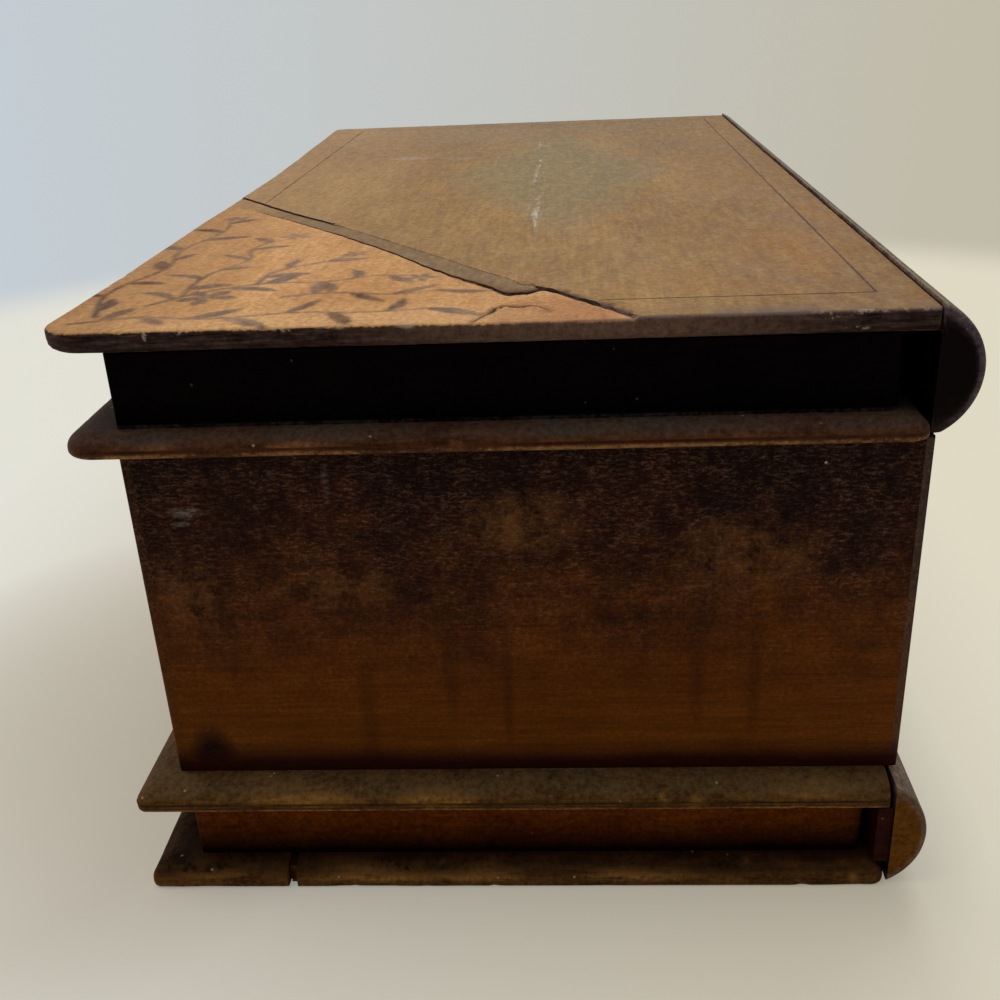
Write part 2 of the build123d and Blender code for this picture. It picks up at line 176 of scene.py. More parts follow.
class BrassSettings(bpy.types.PropertyGroup):
    """Hinge screws."""

    head_radius: bpy.props.FloatProperty(
        name="Screw Head Radius", description="Radius of a countersunk head", default=1.28 * MM,
        min=0.2 * MM, subtype="DISTANCE", unit="LENGTH")
    slot_width: bpy.props.FloatProperty(
        name="Slot Width", description="Width of the slot across a head", default=0.34 * MM,
        min=0.05 * MM, subtype="DISTANCE", unit="LENGTH")
    slot_depth: bpy.props.FloatProperty(
        name="Slot Depth", description="Depth of the slot", default=0.4 * MM,
        min=0.05 * MM, subtype="DISTANCE", unit="LENGTH")


# Meshes


def plan_ring(plan, inset, flat=0.0):
    """Points round a board's plan, moved in by inset where its sides are rounded, and by flat all
    round. Every ring has as many."""
    x0, x1, y0, y1 = plan["box"]
    front = flat + (inset if plan["round_front"] else 0.0)
    back = flat + (inset if plan["round_back"] else 0.0)
    inset += flat
    r = [max(radius - inset, 0.15) for radius in plan["corners"]]
    centres = [
        (x0 + front + r[0], y0 + inset + r[0]),
        (x1 - back - r[1], y0 + inset + r[1]),
        (x1 - back - r[2], y1 - inset - r[2]),
        (x0 + front + r[3], y1 - inset - r[3]),
    ]
    step = plan["step"]
    ring = []
    for k in range(4):
        turn = math.pi + k * math.pi / 2
        arc = 9 if plan["corners"][k] > 1 else 3
        cx, cy = centres[k]
        for i in range(arc + 1):
            a = turn + math.pi / 2 * i / arc
            ring.append((cx + r[k] * math.cos(a), cy + r[k] * math.sin(a)))
        a = turn + math.pi / 2
        nx, ny = centres[(k + 1) % 4]
        rn = r[(k + 1) % 4]
        end = (nx + rn * math.cos(a), ny + rn * math.sin(a))
        start = ring[-1]
        side = (x1 - x0) if k % 2 == 0 else (y1 - y0)
        count = int(side / step)
        for i in range(1, count):
            t = i / count
            ring.append((start[0] + (end[0] - start[0]) * t, start[1] + (end[1] - start[1]) * t))
    if "hollow" in plan:
        ring = [(x + hollow_at(plan, y) * min(1.0, max(0.0, (x0 + 30.0 - x) / 20.0)), y) for x, y in ring]
    return ring


def hollow_at(plan, y):
    """How far the fore-edge of a board is worn in at a place along it."""
    return float(np.interp(y, [row[0] for row in plan["hollow"]], [row[1] for row in plan["hollow"]]))


def edge_rings(z0, z1, top_round, bottom_round, quirk=None, spread=1.0):
    """The rings of a moulded edge from underside to top: its inset on rounded sides and all round,
    its height, and how exposed it is. spread is how many times wider than high the upper round is."""
    rings = [(bottom_round, d, z0, w) for d, w in ((7.0, 0.0), (3.0, 0.05), (1.0, 0.4))]
    for i in range(5):
        a = math.pi / 2 * i / 4
        rings.append((bottom_round * (1 - math.sin(a)), 0.0, z0 + bottom_round * (1 - math.cos(a)), 1.0))
    low, high = z0 + bottom_round, z1 - top_round
    cuts = max(1, int((high - low) / 0.7))
    side = [(0.0, 0.0, low + (high - low) * i / cuts, 0.75) for i in range(1, cuts)]
    if quirk:
        side = [r for r in side if abs(r[2] - quirk) > 0.45]
        side += [(0.0, 0.0, quirk - 0.3, 0.6), (0.28, 0.0, quirk, 0.1), (0.0, 0.0, quirk + 0.3, 0.6)]
        side.sort(key=lambda r: r[2])
    rings += side
    steps = 5 if top_round < 2 else 9
    wide = top_round * spread
    for i in range(steps + 1):
        a = math.pi / 2 * i / steps
        exposed = 1.0 - 0.5 * (i / steps) ** 2
        rings.append((wide * (1 - math.cos(a)), 0.0, high + top_round * math.sin(a), exposed))
    rings += [(wide, d, z1, w) for d, w in ((0.8, 0.3), (2.2, 0.1), (4.5, 0.0), (8.0, 0.0))]
    return rings


def ringed_shell(loops, weights, caps=(True, True)):
    """Joins loops of equally many points into a shell, with a flat cap at each end."""
    count = len(loops[0])
    points = [p for loop in loops for p in loop]
    faces = []
    for k in range(len(loops) - 1):
        for i in range(count):
            j = (i + 1) % count
            a, b = k * count, (k + 1) * count
            faces.append((a + i, a + j, b + j, b + i))
    if caps[0]:
        faces.append(tuple(range(count - 1, -1, -1)))
    if caps[1]:
        last = (len(loops) - 1) * count
        faces.append(tuple(range(last, last + count)))
    exposure = [w for w in weights for _ in range(count)]
    return points, faces, exposure


def moulded_board(plan, z0, z1, top_round, bottom_round, quirk=None, spread=1.0):
    """A board with its edges rounded above and below, as points in millimetres and faces."""
    rings = edge_rings(z0, z1, top_round, bottom_round, quirk, spread)
    loops = [[(x, y, z) for x, y in plan_ring(plan, inset, flat)] for inset, flat, z, _ in rings]
    return ringed_shell(loops, [w for _, _, _, w in rings])


def new_piece(name, points, faces, attributes=None, material=None, smooth=40):
    """An object at the origin from points in millimetres, with point attributes."""
    mesh = bpy.data.meshes.new(name)
    mesh.from_pydata([(x * MM, y * MM, z * MM) for x, y, z in points], [], faces)
    for key, values in (attributes or {}).items():
        layer = mesh.attributes.new(key, "FLOAT", "POINT")
        layer.data.foreach_set("value", np.asarray(values, dtype=np.float32))
    mesh.validate()
    mesh.shade_smooth()
    mesh.set_sharp_from_angle(angle=math.radians(smooth))
    if material:
        mesh.materials.append(material)
    piece = bpy.data.objects.new(name, mesh)
    bpy.context.scene.collection.objects.link(piece)
    return piece


def made_plain(piece, smooth=40):
    """Replaces a piece's mesh by what its modifiers make of it, and takes them off."""
    graph = bpy.context.evaluated_depsgraph_get()
    shape = bpy.data.meshes.new_from_object(
        piece.evaluated_get(graph), preserve_all_data_layers=True, depsgraph=graph)
    piece.modifiers.clear()
    old = piece.data
    piece.data = shape
    bpy.data.meshes.remove(old)
    shape.name = piece.name
    shape.shade_smooth()
    shape.set_sharp_from_angle(angle=math.radians(smooth))
    return piece


def run_tree(piece, tree, **values):
    """Runs a geometry tree on a piece with the given inputs, and keeps the plain result."""
    modifier = piece.modifiers.new(tree.name, "NODES")
    modifier.node_group = tree
    identifiers = {i.name: i.identifier for i in tree.interface.items_tree if i.in_out == "INPUT"}
    for key, value in values.items():
        modifier[identifiers[key.replace("_", " ")]] = value
    return made_plain(piece)


def new_tree(name, numbers, material):
    """A geometry tree with named inputs, a way to add nodes to it, and what it is given."""
    tree = bpy.data.node_groups.new(name, "GeometryNodeTree")
    face = tree.interface
    face.new_socket("Geometry", in_out="INPUT", socket_type="NodeSocketGeometry")
    for label, value in numbers.items():
        face.new_socket(label, in_out="INPUT", socket_type="NodeSocketFloat").default_value = value
    face.new_socket("Seed", in_out="INPUT", socket_type="NodeSocketInt")
    face.new_socket(material, in_out="INPUT", socket_type="NodeSocketMaterial")
    face.new_socket("Geometry", in_out="OUTPUT", socket_type="NodeSocketGeometry")
    add = partial(put, tree)
    return tree, add, add("NodeGroupInput").outputs


def end_tree(add, shape, material):
    """Makes a tree's shape real, and gives it its material."""
    real = add("GeometryNodeRealizeInstances", shape)
    done = add("GeometryNodeSetMaterial", Geometry=real, Material=material)
    add("NodeGroupOutput", done)


def wear_tree():
    """Geometry nodes that sink dents and chips into the exposed arrises of a board."""
    tree, add, given = new_tree("board_wear", {
        "Dent Depth": 0.4 * MM, "Dent Size": 14 * MM, "Chip Depth": 0.4 * MM, "Chip Size": 4.5 * MM,
        "Ripple Depth": 0.07 * MM}, "Wood")
    position = add("GeometryNodeInputPosition")
    outward = add("GeometryNodeInputNormal")
    arris = add("GeometryNodeInputNamedAttribute", "arris", data_type="FLOAT")
    drops = []
    for loss, low, high, step in (("Dent", 0.48, 0.78, 0.0), ("Chip", 0.62, 0.70, 3.7)):
        pitch = add("Math", 1.0, given[loss + " Size"], operation="DIVIDE")
        phase = add("Math", given["Seed"], step, operation="ADD")
        field = add("TexNoise", Vector=position, W=phase, Scale=pitch, Detail=3.0, noise_dimensions="4D")
        mask = add("MapRange", field, low, high, interpolation_type="SMOOTHSTEP")
        chip = add("Math", mask, arris, operation="MULTIPLY")
        drops.append(add("Math", chip, given[loss + " Depth"], operation="MULTIPLY"))
    ripple = add("TexNoise", Vector=position, W=given["Seed"], Scale=55.0, Detail=2.0, noise_dimensions="4D")
    drops.append(add("Math", ripple, given["Ripple Depth"], operation="MULTIPLY"))
    total = add("Math", drops[0], drops[1], operation="ADD")
    total = add("Math", total, drops[2], operation="ADD")
    inward = add("Math", total, -1.0, operation="MULTIPLY")
    offset = add("VectorMath", outward, Scale=inward, operation="SCALE")
    moved = add("GeometryNodeSetPosition", Geometry=given["Geometry"], Offset=offset)
    kept = add("GeometryNodeStoreNamedAttribute", Geometry=moved, Name="chip", Value=chip,
               data_type="FLOAT", domain="POINT")
    end_tree(add, kept, given["Wood"])
    return tree


def worn(piece, material, strength=1.0, step=0):
    """Wears a board's arrises, and gives it its wood."""
    wear = bpy.context.scene.vanity_wear
    tree = bpy.data.node_groups.get("board_wear") or wear_tree()
    return run_tree(
        piece, tree, Dent_Depth=wear.dent_depth * strength, Dent_Size=wear.dent_size,
        Chip_Depth=wear.chip_depth * strength, Chip_Size=wear.chip_size,
        Ripple_Depth=wear.ripple_depth, Seed=wear.seed + step, Wood=material)


def cutter(name, loops):
    """A closed solid through loops of points, used to cut a recess and then thrown away."""
    points, faces, _ = ringed_shell(loops, [0] * len(loops))
    return new_piece(name, points, faces)


def block(name, x0, x1, y0, y1, z0, z1):
    """A cutter with square sides."""
    return cutter(name, [[(x0, y0, z), (x1, y0, z), (x1, y1, z), (x0, y1, z)] for z in (z0, z1)])


def round_bar(name, x, z, radius, y0, y1, sides=28):
    """A cutter for a hinge barrel's clearance."""
    turns = [2 * math.pi * i / sides for i in range(sides)]
    section = [(x + radius * math.sin(a), z + radius * math.cos(a)) for a in turns]
    return cutter(name, [[(px, y, pz) for px, pz in section] for y in (y0, y1)])


def cut(piece, cutters):
    """Takes each cutter out of a piece, and throws the cutters away."""
    for tool in cutters:
        modifier = piece.modifiers.new("recess", "BOOLEAN")
        modifier.object = tool
        modifier.operation = "DIFFERENCE"
        modifier.solver = "EXACT"
    made_plain(piece)
    for tool in cutters:
        mesh = tool.data
        bpy.data.objects.remove(tool)
        bpy.data.meshes.remove(mesh)
    return piece


def place(piece, body, slot, *replaced):
    """Sets a finished piece on its CAD body, in the place of the nodes it stands for."""
    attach(piece, body)
    if replaced:
        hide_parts(*replaced)
    return piece


def dress(names, material):
    """Gives CAD nodes a finish."""
    for name in names:
        for slot in nodes[name].material_slots:
            slot.material = material


# Materials


def begin(name):
    """A new material, a way to add nodes to it, its own coordinates and its place and normal by axis."""
    material = bpy.data.materials.new(name)
    material.use_nodes = True
    material.node_tree.nodes.clear()
    add = partial(put, material.node_tree)
    coords = add("TexCoord")
    split = add("SeparateXYZ", coords.outputs["Object"])
    facing = add("SeparateXYZ", coords.outputs["Normal"])
    return material, add, coords.outputs["Object"], split, facing


def finish(material, colour, relief, strength, depth, **surface):
    """Gives a material its colour, its relief of a depth in millimetres, and how its surface shines."""
    add = partial(put, material.node_tree)
    bump = add("Bump", Height=relief, Strength=strength, Distance=depth * MM)
    shader = add("BsdfPrincipled", Base_Color=colour, Normal=bump, **surface)
    add("OutputMaterial", Surface=shader)
    return material


def drawn(add, here, scales, detail=5.0, rough=0.6, **more):
    """A pattern with its own scale along each axis, as grain, rubs and runs have."""
    stretched = add("Mapping", Vector=here, Scale=scales)
    return add("TexNoise", Vector=stretched, Scale=1.0, Detail=detail, Roughness=rough, **more)


def summed(add, start, *parts):
    """Adds patterns to a start, each times its weight."""
    for pattern, weight in parts:
        start = add("Math", pattern, weight, start, operation="MULTIPLY_ADD")
    return start


def coated(add, colour, *coats):
    """A colour with coats laid over it, each a shade and the shares that together say how much shows."""
    for shade, share, *others in coats:
        for other in others:
            share = add("Math", share, other, operation="MULTIPLY")
        colour = add("Mix", share, at={MIX_A: colour, MIX_B: shade}, data_type="RGBA")
    return colour


def mottled(add, colour, *patterns):
    """A colour made darker and lighter by patterns, each with the values that it runs between and how
    bright the colour is at either."""
    for pattern in patterns:
        colour = add("VectorMath", colour, Scale=add("MapRange", *pattern), operation="SCALE")
    return colour


def apart(add, value, middle):
    """How far a value is from a middle, in metres."""
    away = add("Math", value, -middle, operation="ADD")
    return add("Math", away, operation="ABSOLUTE")


def spot(add, split, middle, reach, soft=0.95):
    """A soft-edged patch round a place in millimetres: 1 inside, 0 beyond its reach along X, Y and Z."""
    parts = []
    for axis in range(3):
        away = add("Math", split.outputs[axis], -middle[axis] * MM, operation="ADD")
        away = add("Math", away, 1 / (reach[axis] * MM), operation="MULTIPLY")
        parts.append(add("Math", away, 2.0, operation="POWER"))
    total = add("Math", parts[0], parts[1], operation="ADD")
    total = add("Math", total, parts[2], operation="ADD")
    return add("MapRange", total, 1 - soft, 1.0, 1.0, 0.0)


def stained_wood(name, dark, mid, rub, dust_and_shade=None, ends=None, foot=None, grain="Y", rubbed=0.4,
                 dust_and_shade_amount=0.8, dust_and_shade_from=0.95, mote=0.6, shine=0.06, painted_shade_side=None, bright=(), lines=()):
    """Old spirit-stained softwood under thin worn shellac: streaky grain, arrises rubbed through to
    brown in streaks that run along them, a colour laid on what faces up, and a low uneven sheen. That
    colour, dust, is a dusty grey on most pieces and a near-black painted shade on the foot planks. ends
    is the colour of end grain, hidden a level and the near-black painted shade laid on the fore-edge side
    below it, foot a lower level, an upper level and a painted shade that the wood darkens to between
    them, bright lists places where it is rubbed most, and lines the heights, half widths and colours of
    thin lines along an edge; on the two ledges the pale line low on the lower round is a painted highlight."""
    material, add, here, split, facing = begin(name)
    # grain 1.2 mm wide, drawn out 14 times along the board
    fibre = drawn(add, here, {"X": (60, 850, 850), "Y": (850, 60, 850)}[grain])
    cloud = add("TexNoise", Vector=here, Scale=60.0, Detail=6.0, Roughness=0.65)
    fine = add("TexNoise", Vector=here, Scale=900.0, Detail=4.0, Roughness=0.75)
    # rubs 9 mm long and under 1 mm high, so that on an edge they run along it
    rubs = drawn(add, here, (110, 110, 1150), rough=0.62)
    tone = summed(add, 0.0, (fibre, 0.2), (rubs, 0.4), (cloud, 0.4))
    colour = add("ValToRGB", tone, stops=[(0.4, dark), (0.6, mid)])
    # painted shade: the fore-edge side below the given level, which no light reaches, is laid near-black
    if painted_shade_side:
        inward = add("MapRange", facing.outputs[0], -0.9, -0.98, 0.0, 1.0)
        under_level = add("Math", split.outputs[2], painted_shade_side[0] * MM, operation="LESS_THAN")
        colour = coated(add, colour, (painted_shade_side[1], inward, under_level))
    if ends:
        across = add("Math", facing.outputs[1], operation="ABSOLUTE")
        colour = coated(add, colour, (ends, add("MapRange", across, 0.88, 0.97)))
        colour = mottled(add, colour, (tone, 0.38, 0.62, 0.7, 1.2))
    # arrises rubbed through, and chips broken out of them
    arris = add("Attribute", attribute_name="arris").outputs["Fac"]
    amount = add("Math", arris, rubbed, operation="MULTIPLY")
    for middle, reach in bright:
        amount = summed(add, amount,
                        (add("Math", spot(add, split, middle, reach), arris, operation="MULTIPLY"), 0.9))
    worn_here = add("Math", add("MapRange", tone, 0.4, 0.6, 0.2, 1.0), amount, operation="MULTIPLY")
    chipped = add("Math", add("Attribute", attribute_name="chip").outputs["Fac"], 0.55, operation="MULTIPLY")
    colour = coated(add, colour, (rub, worn_here), (rub, chipped))
    # painted shade: the wood darkens towards the foot, where the piece below keeps the light off
    if foot:
        low, high, shade = foot
        lower = summed(add, split.outputs[2], (cloud, 3 * MM))
        lower = add("MapRange", lower, (low + 1.5) * MM, (high + 1.5) * MM, 1.0, 0.0)
        colour = coated(add, colour, (shade, lower))
    for height, half, shade in lines:
        away = apart(add, split.outputs[2], height * MM)
        thin = add("MapRange", away, half * 0.4 * MM, half * MM, 1.0, 0.0)
        broken = add("MapRange", summed(add, fine, (cloud, 1.5)), 1.1, 1.4, 0.1, 0.85)
        colour = coated(add, colour, (shade, thin, broken))
    rough = add("MapRange", cloud, 0.35, 0.7, 0.42, 0.62)
    # dust on what faces up; where it is given near-black, as on the foot planks, it is painted shade from the
    # page block above instead
    if dust_and_shade:
        patchy = add("MapRange", summed(add, fine, (cloud, 1.3)), 0.95, 1.35, 0.25, 1.0)
        lying = summed(add, facing.outputs[2], (tone, 1.2))
        lying = add("MapRange", lying, dust_and_shade_from, dust_and_shade_from + 0.5, 0.0, dust_and_shade_amount)
        dusty = add("Math", lying, patchy, operation="MULTIPLY")
        colour = coated(add, colour, (dust_and_shade, dusty))
        rough = summed(add, rough, (dusty, 0.3))
    # fine grit over everything but the undersides, which show their straight grain
    under = add("MapRange", facing.outputs[2], -0.7, -0.95)
    surface = add("MapRange", under, 0.0, 1.0, fine, fibre)
    colour = mottled(add, colour, (surface, 0.3, 0.7, 0.5, 1.55))
    # white motes about 0.5 mm across, far apart, none of them underneath
    spread = add("TexVoronoi", Vector=here, Scale=200.0, feature="F1")
    speck = add("MapRange", spread, 0.035, 0.07, mote, 0.0)
    colour = coated(add, colour, ("#b9ab98", add("MapRange", under, 0.0, 1.0, speck, 0.0)))
    relief = summed(add, fine, (rubs, 0.8), (fibre, 0.6))
    return finish(material, colour, relief, 0.4, 0.25, Roughness=rough, Specular_IOR_Level=shine)


def case_wood(name, grain, ends=None):
    """The case's boards, stained and varnished in one go. Nearly black under the lid, from dark stain and
    painted shade of the lid's overhang, warming to amber low down with a red-black line of varnish at the
    foot; fine pale scratches along the grain, runs of stain, a grey scuff and a few white specks. ends is
    how far the boards' ends turn to another colour."""
    material, add, here, split, facing = begin(name)

    def along_grain(length, width, **more):
        return drawn(add, here, {"X": (length, width, width), "Y": (width, length, width)}[grain], **more)

    # figure 2.5 mm wide and 50 mm long, and fibres 0.5 mm wide and 10 mm long
    figure = along_grain(20, 400, rough=0.62)
    fibre = along_grain(95, 1900, rough=0.65)
    cloud = add("TexNoise", Vector=here, Scale=32.0, Detail=8.0, Roughness=0.66)
    blot = add("TexNoise", Vector=here, Scale=170.0, Detail=7.0, Roughness=0.72)
    crumb = add("TexNoise", Vector=here, Scale=1100.0, Detail=5.0, Roughness=0.8)
    # runs of stain 5 mm wide, drawn out downwards
    run = drawn(add, here, (190, 190, 24))
    level = add("MapRange", split.outputs[2], 24.1 * MM, RIM * MM)
    wavy = summed(add, 0.5, (cloud, -1.0), (blot, -0.9), (run, -0.35))
    wavy = add("Math", wavy, 0.62, operation="ADD")
    wavy = add("Math", wavy, add("MapRange", level, 0.1, 0.5, 0.35, 1.0), operation="MULTIPLY")
    height = add("Math", level, wavy, operation="ADD")
    # near-black towards the top, partly dark stain and partly painted shade under the lid's overhang
    colour = add("ValToRGB", height, stops=[
        (0.0, "#6e3d08"), (0.25, "#653509"), (0.45, "#562c0b"), (0.62, "#42210d"), (0.8, "#2d140c"),
        (1.0, "#1d0c09")])
    if ends:
        across = add("Math", facing.outputs[1], operation="ABSOLUTE")
        colour = coated(add, colour, (ends[1], add("MapRange", across, 0.8, 0.95, 0.0, ends[0])))
    coarse = add("MapRange", level, 0.2, 0.6, 0.3, 0.62)
    rest = add("Math", 1.0, coarse, operation="SUBTRACT")
    most = add("Math", 1.0, coarse, operation="ADD")
    colour = mottled(add, colour, (figure, 0.32, 0.68, 0.84, 1.16), (fibre, 0.3, 0.7, 0.8, 1.25),
                     (crumb, 0.3, 0.7, rest, most))
    # amber where the stain is rubbed thin, and a dark stain low down at the fore-edge
    thinned = add("MapRange", summed(add, blot, (crumb, 0.5)), 0.62, 0.9, 0.0, 0.7)
    for middle, reach in (((3, CASE_END, 79), (12, 30, 8)), ((-61, CASE_END, 65), (7, 30, 11)),
                          ((44, CASE_END, 72), (16, 30, 9)), ((-33, CASE_END, 66), (14, 30, 5))):
        colour = coated(add, colour, ("#7d5226", spot(add, split, middle, reach), thinned))
    colour = coated(add, colour, ("#1c0a05", spot(add, split, (-62, CASE_END, 28), (5.5, 30, 8), soft=0.9)))
    for across_at, top, wide in ((-1, 44, 1.5), (36, 50, 2.2), (47, 46, 1.8), (-29, 36, 2.4), (-12, 50, 2.0)):
        drip = spot(add, split, (across_at, CASE_END, top), (wide, 30, 18))
        colour = coated(add, colour, ("#3a1a08", drip, 0.4))
    foot = add("MapRange", summed(add, level, (cloud, 0.06)), 0.06, 0.13, 1.0, 0.0)
    colour = coated(add, colour, ("#2f0d06", foot))
    # scratches: pale dashes along the grain and crumbs of lost varnish, most in the upper part
    dash = along_grain(600, 1750, rough=0.8, Distortion=0.35)
    upper_part = add("MapRange", level, 0.25, 0.65, 0.08, 0.62)
    where = add("Math", upper_part, add("MapRange", blot, 0.4, 0.6, 0.25, 1.0), operation="MULTIPLY")
    for pattern, low, high, shade in ((dash, 0.5, 0.66, "#8a6750"), (crumb, 0.58, 0.68, "#927362")):
        colour = coated(add, colour, (shade, add("MapRange", pattern, low, high), where))
    streaked = add("MapRange", dash, 0.4, 0.56)
    for middle, reach, share in (
            ((-59.5, CASE_END, 82.6), (3.6, 30, 1.3), 0.5), ((-60.5, CASE_END, 80.3), (2.2, 30, 0.6), 0.5),
            ((-32.5, CASE_END, 88), (0.9, 30, 5), 0.16)):
        colour = coated(add, colour, ("#a0958a", spot(add, split, middle, reach), streaked, share))
    spread = add("TexVoronoi", Vector=here, Scale=42.0, feature="F1")
    colour = coated(add, colour, ("#c9c2b6", add("MapRange", spread, 0.009, 0.016, 0.9, 0.0)))
    rough = add("MapRange", cloud, 0.3, 0.7, 0.4, 0.62)
    relief = summed(add, fibre, (dash, 0.7), (crumb, 0.4))
    return finish(material, colour, relief, 0.4, 0.2, Roughness=rough, Specular_IOR_Level=0.05)


def worn_top_wood(paint):
    """The top board: golden varnished wood gone dull and mottled, with a grey-green rubbed diamond in
    the middle, a lighter orange sunk corner with thin brown paint, and near-black stained edges."""
    material, add, here, split, facing = begin("old varnished top board")
    x, y, up = split.outputs[0], split.outputs[1], facing.outputs[2]
    marks = {name: add("Attribute", attribute_name=name).outputs["Fac"]
             for name in ("sunk", "sliver", "paint", "crack", "chip")}
    lengthwise = add("Mapping", Vector=here, Scale=(1.4, 0.42, 1.4))
    cloud = add("TexNoise", Vector=lengthwise, Scale=22.0, Detail=8.0, Roughness=0.66)
    patch = add("TexNoise", Vector=lengthwise, Scale=95.0, Detail=6.0, Roughness=0.68)
    mottle = add("TexNoise", Vector=lengthwise, Scale=300.0, Detail=6.0, Roughness=0.75)
    fine = add("TexNoise", Vector=here, Scale=850.0, Detail=4.0, Roughness=0.78)
    # faint striations 1 mm wide along the board
    fibre = drawn(add, here, (1000, 60, 1000))
    tone = summed(add, 0.0, (cloud, 0.5), (patch, 0.28), (fibre, 0.22))
    field = add("ValToRGB", tone, stops=[
        (0.36, "#7f5d34"), (0.46, "#957141"), (0.54, "#a07c4a"), (0.64, "#b18d5a")])
    # greyer at the far end and the fore-edge, darker and warmer towards the spine
    for axis, start, stop, share, shade in (
            (y, 10, 150, 0.8, "#857053"), (x, -20, -70, 0.6, "#ae8b64"), (x, 25, 76, 0.8, "#8c683c")):
        field = coated(add, field, (shade, add("MapRange", axis, start * MM, stop * MM, 0.0, share)))
    field = mottled(add, field, (tone, 0.38, 0.62, 0.92, 1.08))
    broken = add("MapRange", patch, 0.36, 0.56)
    for middle, reach, share, shade in (
            ((57, -105, 117), (14, 38, 9), 0.45, "#a5703a"), ((38, -128, 117), (26, 12, 9), 0.25, "#9c6b3c"),
            ((70, -66, 117), (7, 30, 9), 0.4, "#a0703d"), ((-20, 110, 117), (30, 30, 9), 0.4, "#8d7a68"),
            ((-40, 56, 117), (9, 5, 9), 0.45, "#a3a097"), ((-23, 52, 117), (7, 4, 9), 0.35, "#a3a097")):
        field = coated(add, field, (shade, spot(add, split, middle, reach), share, broken))
    # the diamond: 70 mm wide and 200 mm long, with a ragged edge
    across = add("Math", apart(add, x, 9.5 * MM), 1 / (35 * MM), operation="MULTIPLY")
    outward = summed(add, across, (apart(add, y, 12 * MM), 1 / (100 * MM)))
    diamond = add("MapRange", summed(add, outward, (patch, 0.8)), 1.15, 1.5, 0.75, 0.0)
    uneven = add("MapRange", patch, 0.36, 0.6, 0.55, 1.0)
    field = coated(add, field, ("#877b58", diamond, uneven))
    # pale scuffs in a thin broken line down the diamond's middle
    scuff = add("MapRange", apart(add, x, 4.2 * MM), 0.6 * MM, 2.4 * MM, 1.0, 0.0)
    length = add("MapRange", outward, 0.95, 1.05, 1.0, 0.0)
    broken = summed(add, drawn(add, here, (520, 45, 520), rough=0.75), (fine, 0.3))
    broken = add("MapRange", broken, 0.66, 0.8, 0.0, 0.8)
    field = coated(add, field, ("#c3bba8", scuff, length, broken))
    # sunk corner and the sliver beside it
    corner = add("ValToRGB", tone, stops=[(0.38, "#b9844c"), (0.5, "#c8945b"), (0.62, "#d8a76f")])
    fore = add("MapRange", x, -84 * MM, -50 * MM, 0.6, 0.0)
    redder = spot(add, split, (10, -150, 117), (14, 14, 9), soft=0.6)
    lighter = spot(add, split, (-30, -152, 117), (42, 15, 9))
    corner = coated(add, corner, ("#9c7853", fore), ("#ad7647", redder, 0.7), ("#dcae78", lighter, 0.6))
    colour = coated(add, field, (corner, marks["sunk"]), ("#806649", marks["sliver"], 0.75))
    # thin paint, brown to grey-violet, broken up by the grain under it
    broken = add("MapRange", patch, 0.36, 0.6, 0.62, 0.95)
    pigment = coated(add, paint, ("#79675c", add("MapRange", cloud, 0.42, 0.56)))
    colour = coated(add, colour, (pigment, marks["paint"], broken))
    # mottling 3 mm across, golden green and darker, and a finer speckle
    unsunk = add("MapRange", marks["sunk"], 0.0, 1.0, 1.0, 0.3)
    colour = coated(add, colour, ("#8f8250", add("MapRange", mottle, 0.5, 0.66, 0.0, 0.45), unsunk))
    colour = mottled(add, colour, (mottle, 0.3, 0.7, 0.8, 1.18), (fine, 0.3, 0.7, 0.7, 1.28))
    # dust lies along the near margin of the spine half
    ashy = add("MapRange", summed(add, patch, (fine, 0.7)), 0.8, 0.98)
    margin = add("MapRange", y, -147.5 * MM, -153.5 * MM, 0.0, 0.8)
    spine_half = add("MapRange", x, 22 * MM, 45 * MM)
    colour = coated(add, colour, ("#6b5d58", margin, spine_half, ashy), ("#46240f", marks["crack"]))
    # stained edges, paler in the middle of the near end; beside the spine half their rounded arris is grey,
    # partly dust and partly a painted highlight
    rubs = drawn(add, here, (130, 130, 1300), rough=0.65)
    edge_shade = add("ValToRGB", rubs, stops=[(0.36, "#23130f"), (0.52, "#3a2a26"), (0.66, "#5a4843")])
    paler = spot(add, split, (16, LID_END, 115), (46, 9, 9))
    edge_shade = coated(add, edge_shade, ("#745a4b", paler, 0.75))
    side = add("MapRange", summed(add, up, (ashy, 0.25)), 0.62, 0.85, 1.0, 0.0)
    colour = coated(add, colour, (edge_shade, side))
    grit = add("MapRange", fine, 0.3, 0.7, 0.5, 1.5)
    colour = mottled(add, colour, (side, 0.0, 1.0, 1.0, grit))
    # painted highlight with dust: the grey on the rounded arris beside the spine half
    rim = add("MapRange", up, 0.25, 0.6)
    tilted = add("MapRange", up, 0.93, 0.99, 1.0, 0.0)
    spine_side = add("MapRange", x, -5 * MM, 30 * MM, 0.0, 0.8)
    ashen = add("MapRange", ashy, 0.0, 1.0, 0.4, 1.0)
    colour = coated(add, colour, ("#75686b", rim, tilted, spine_side, ashen), ("#b39c7d", rim, marks["chip"]))
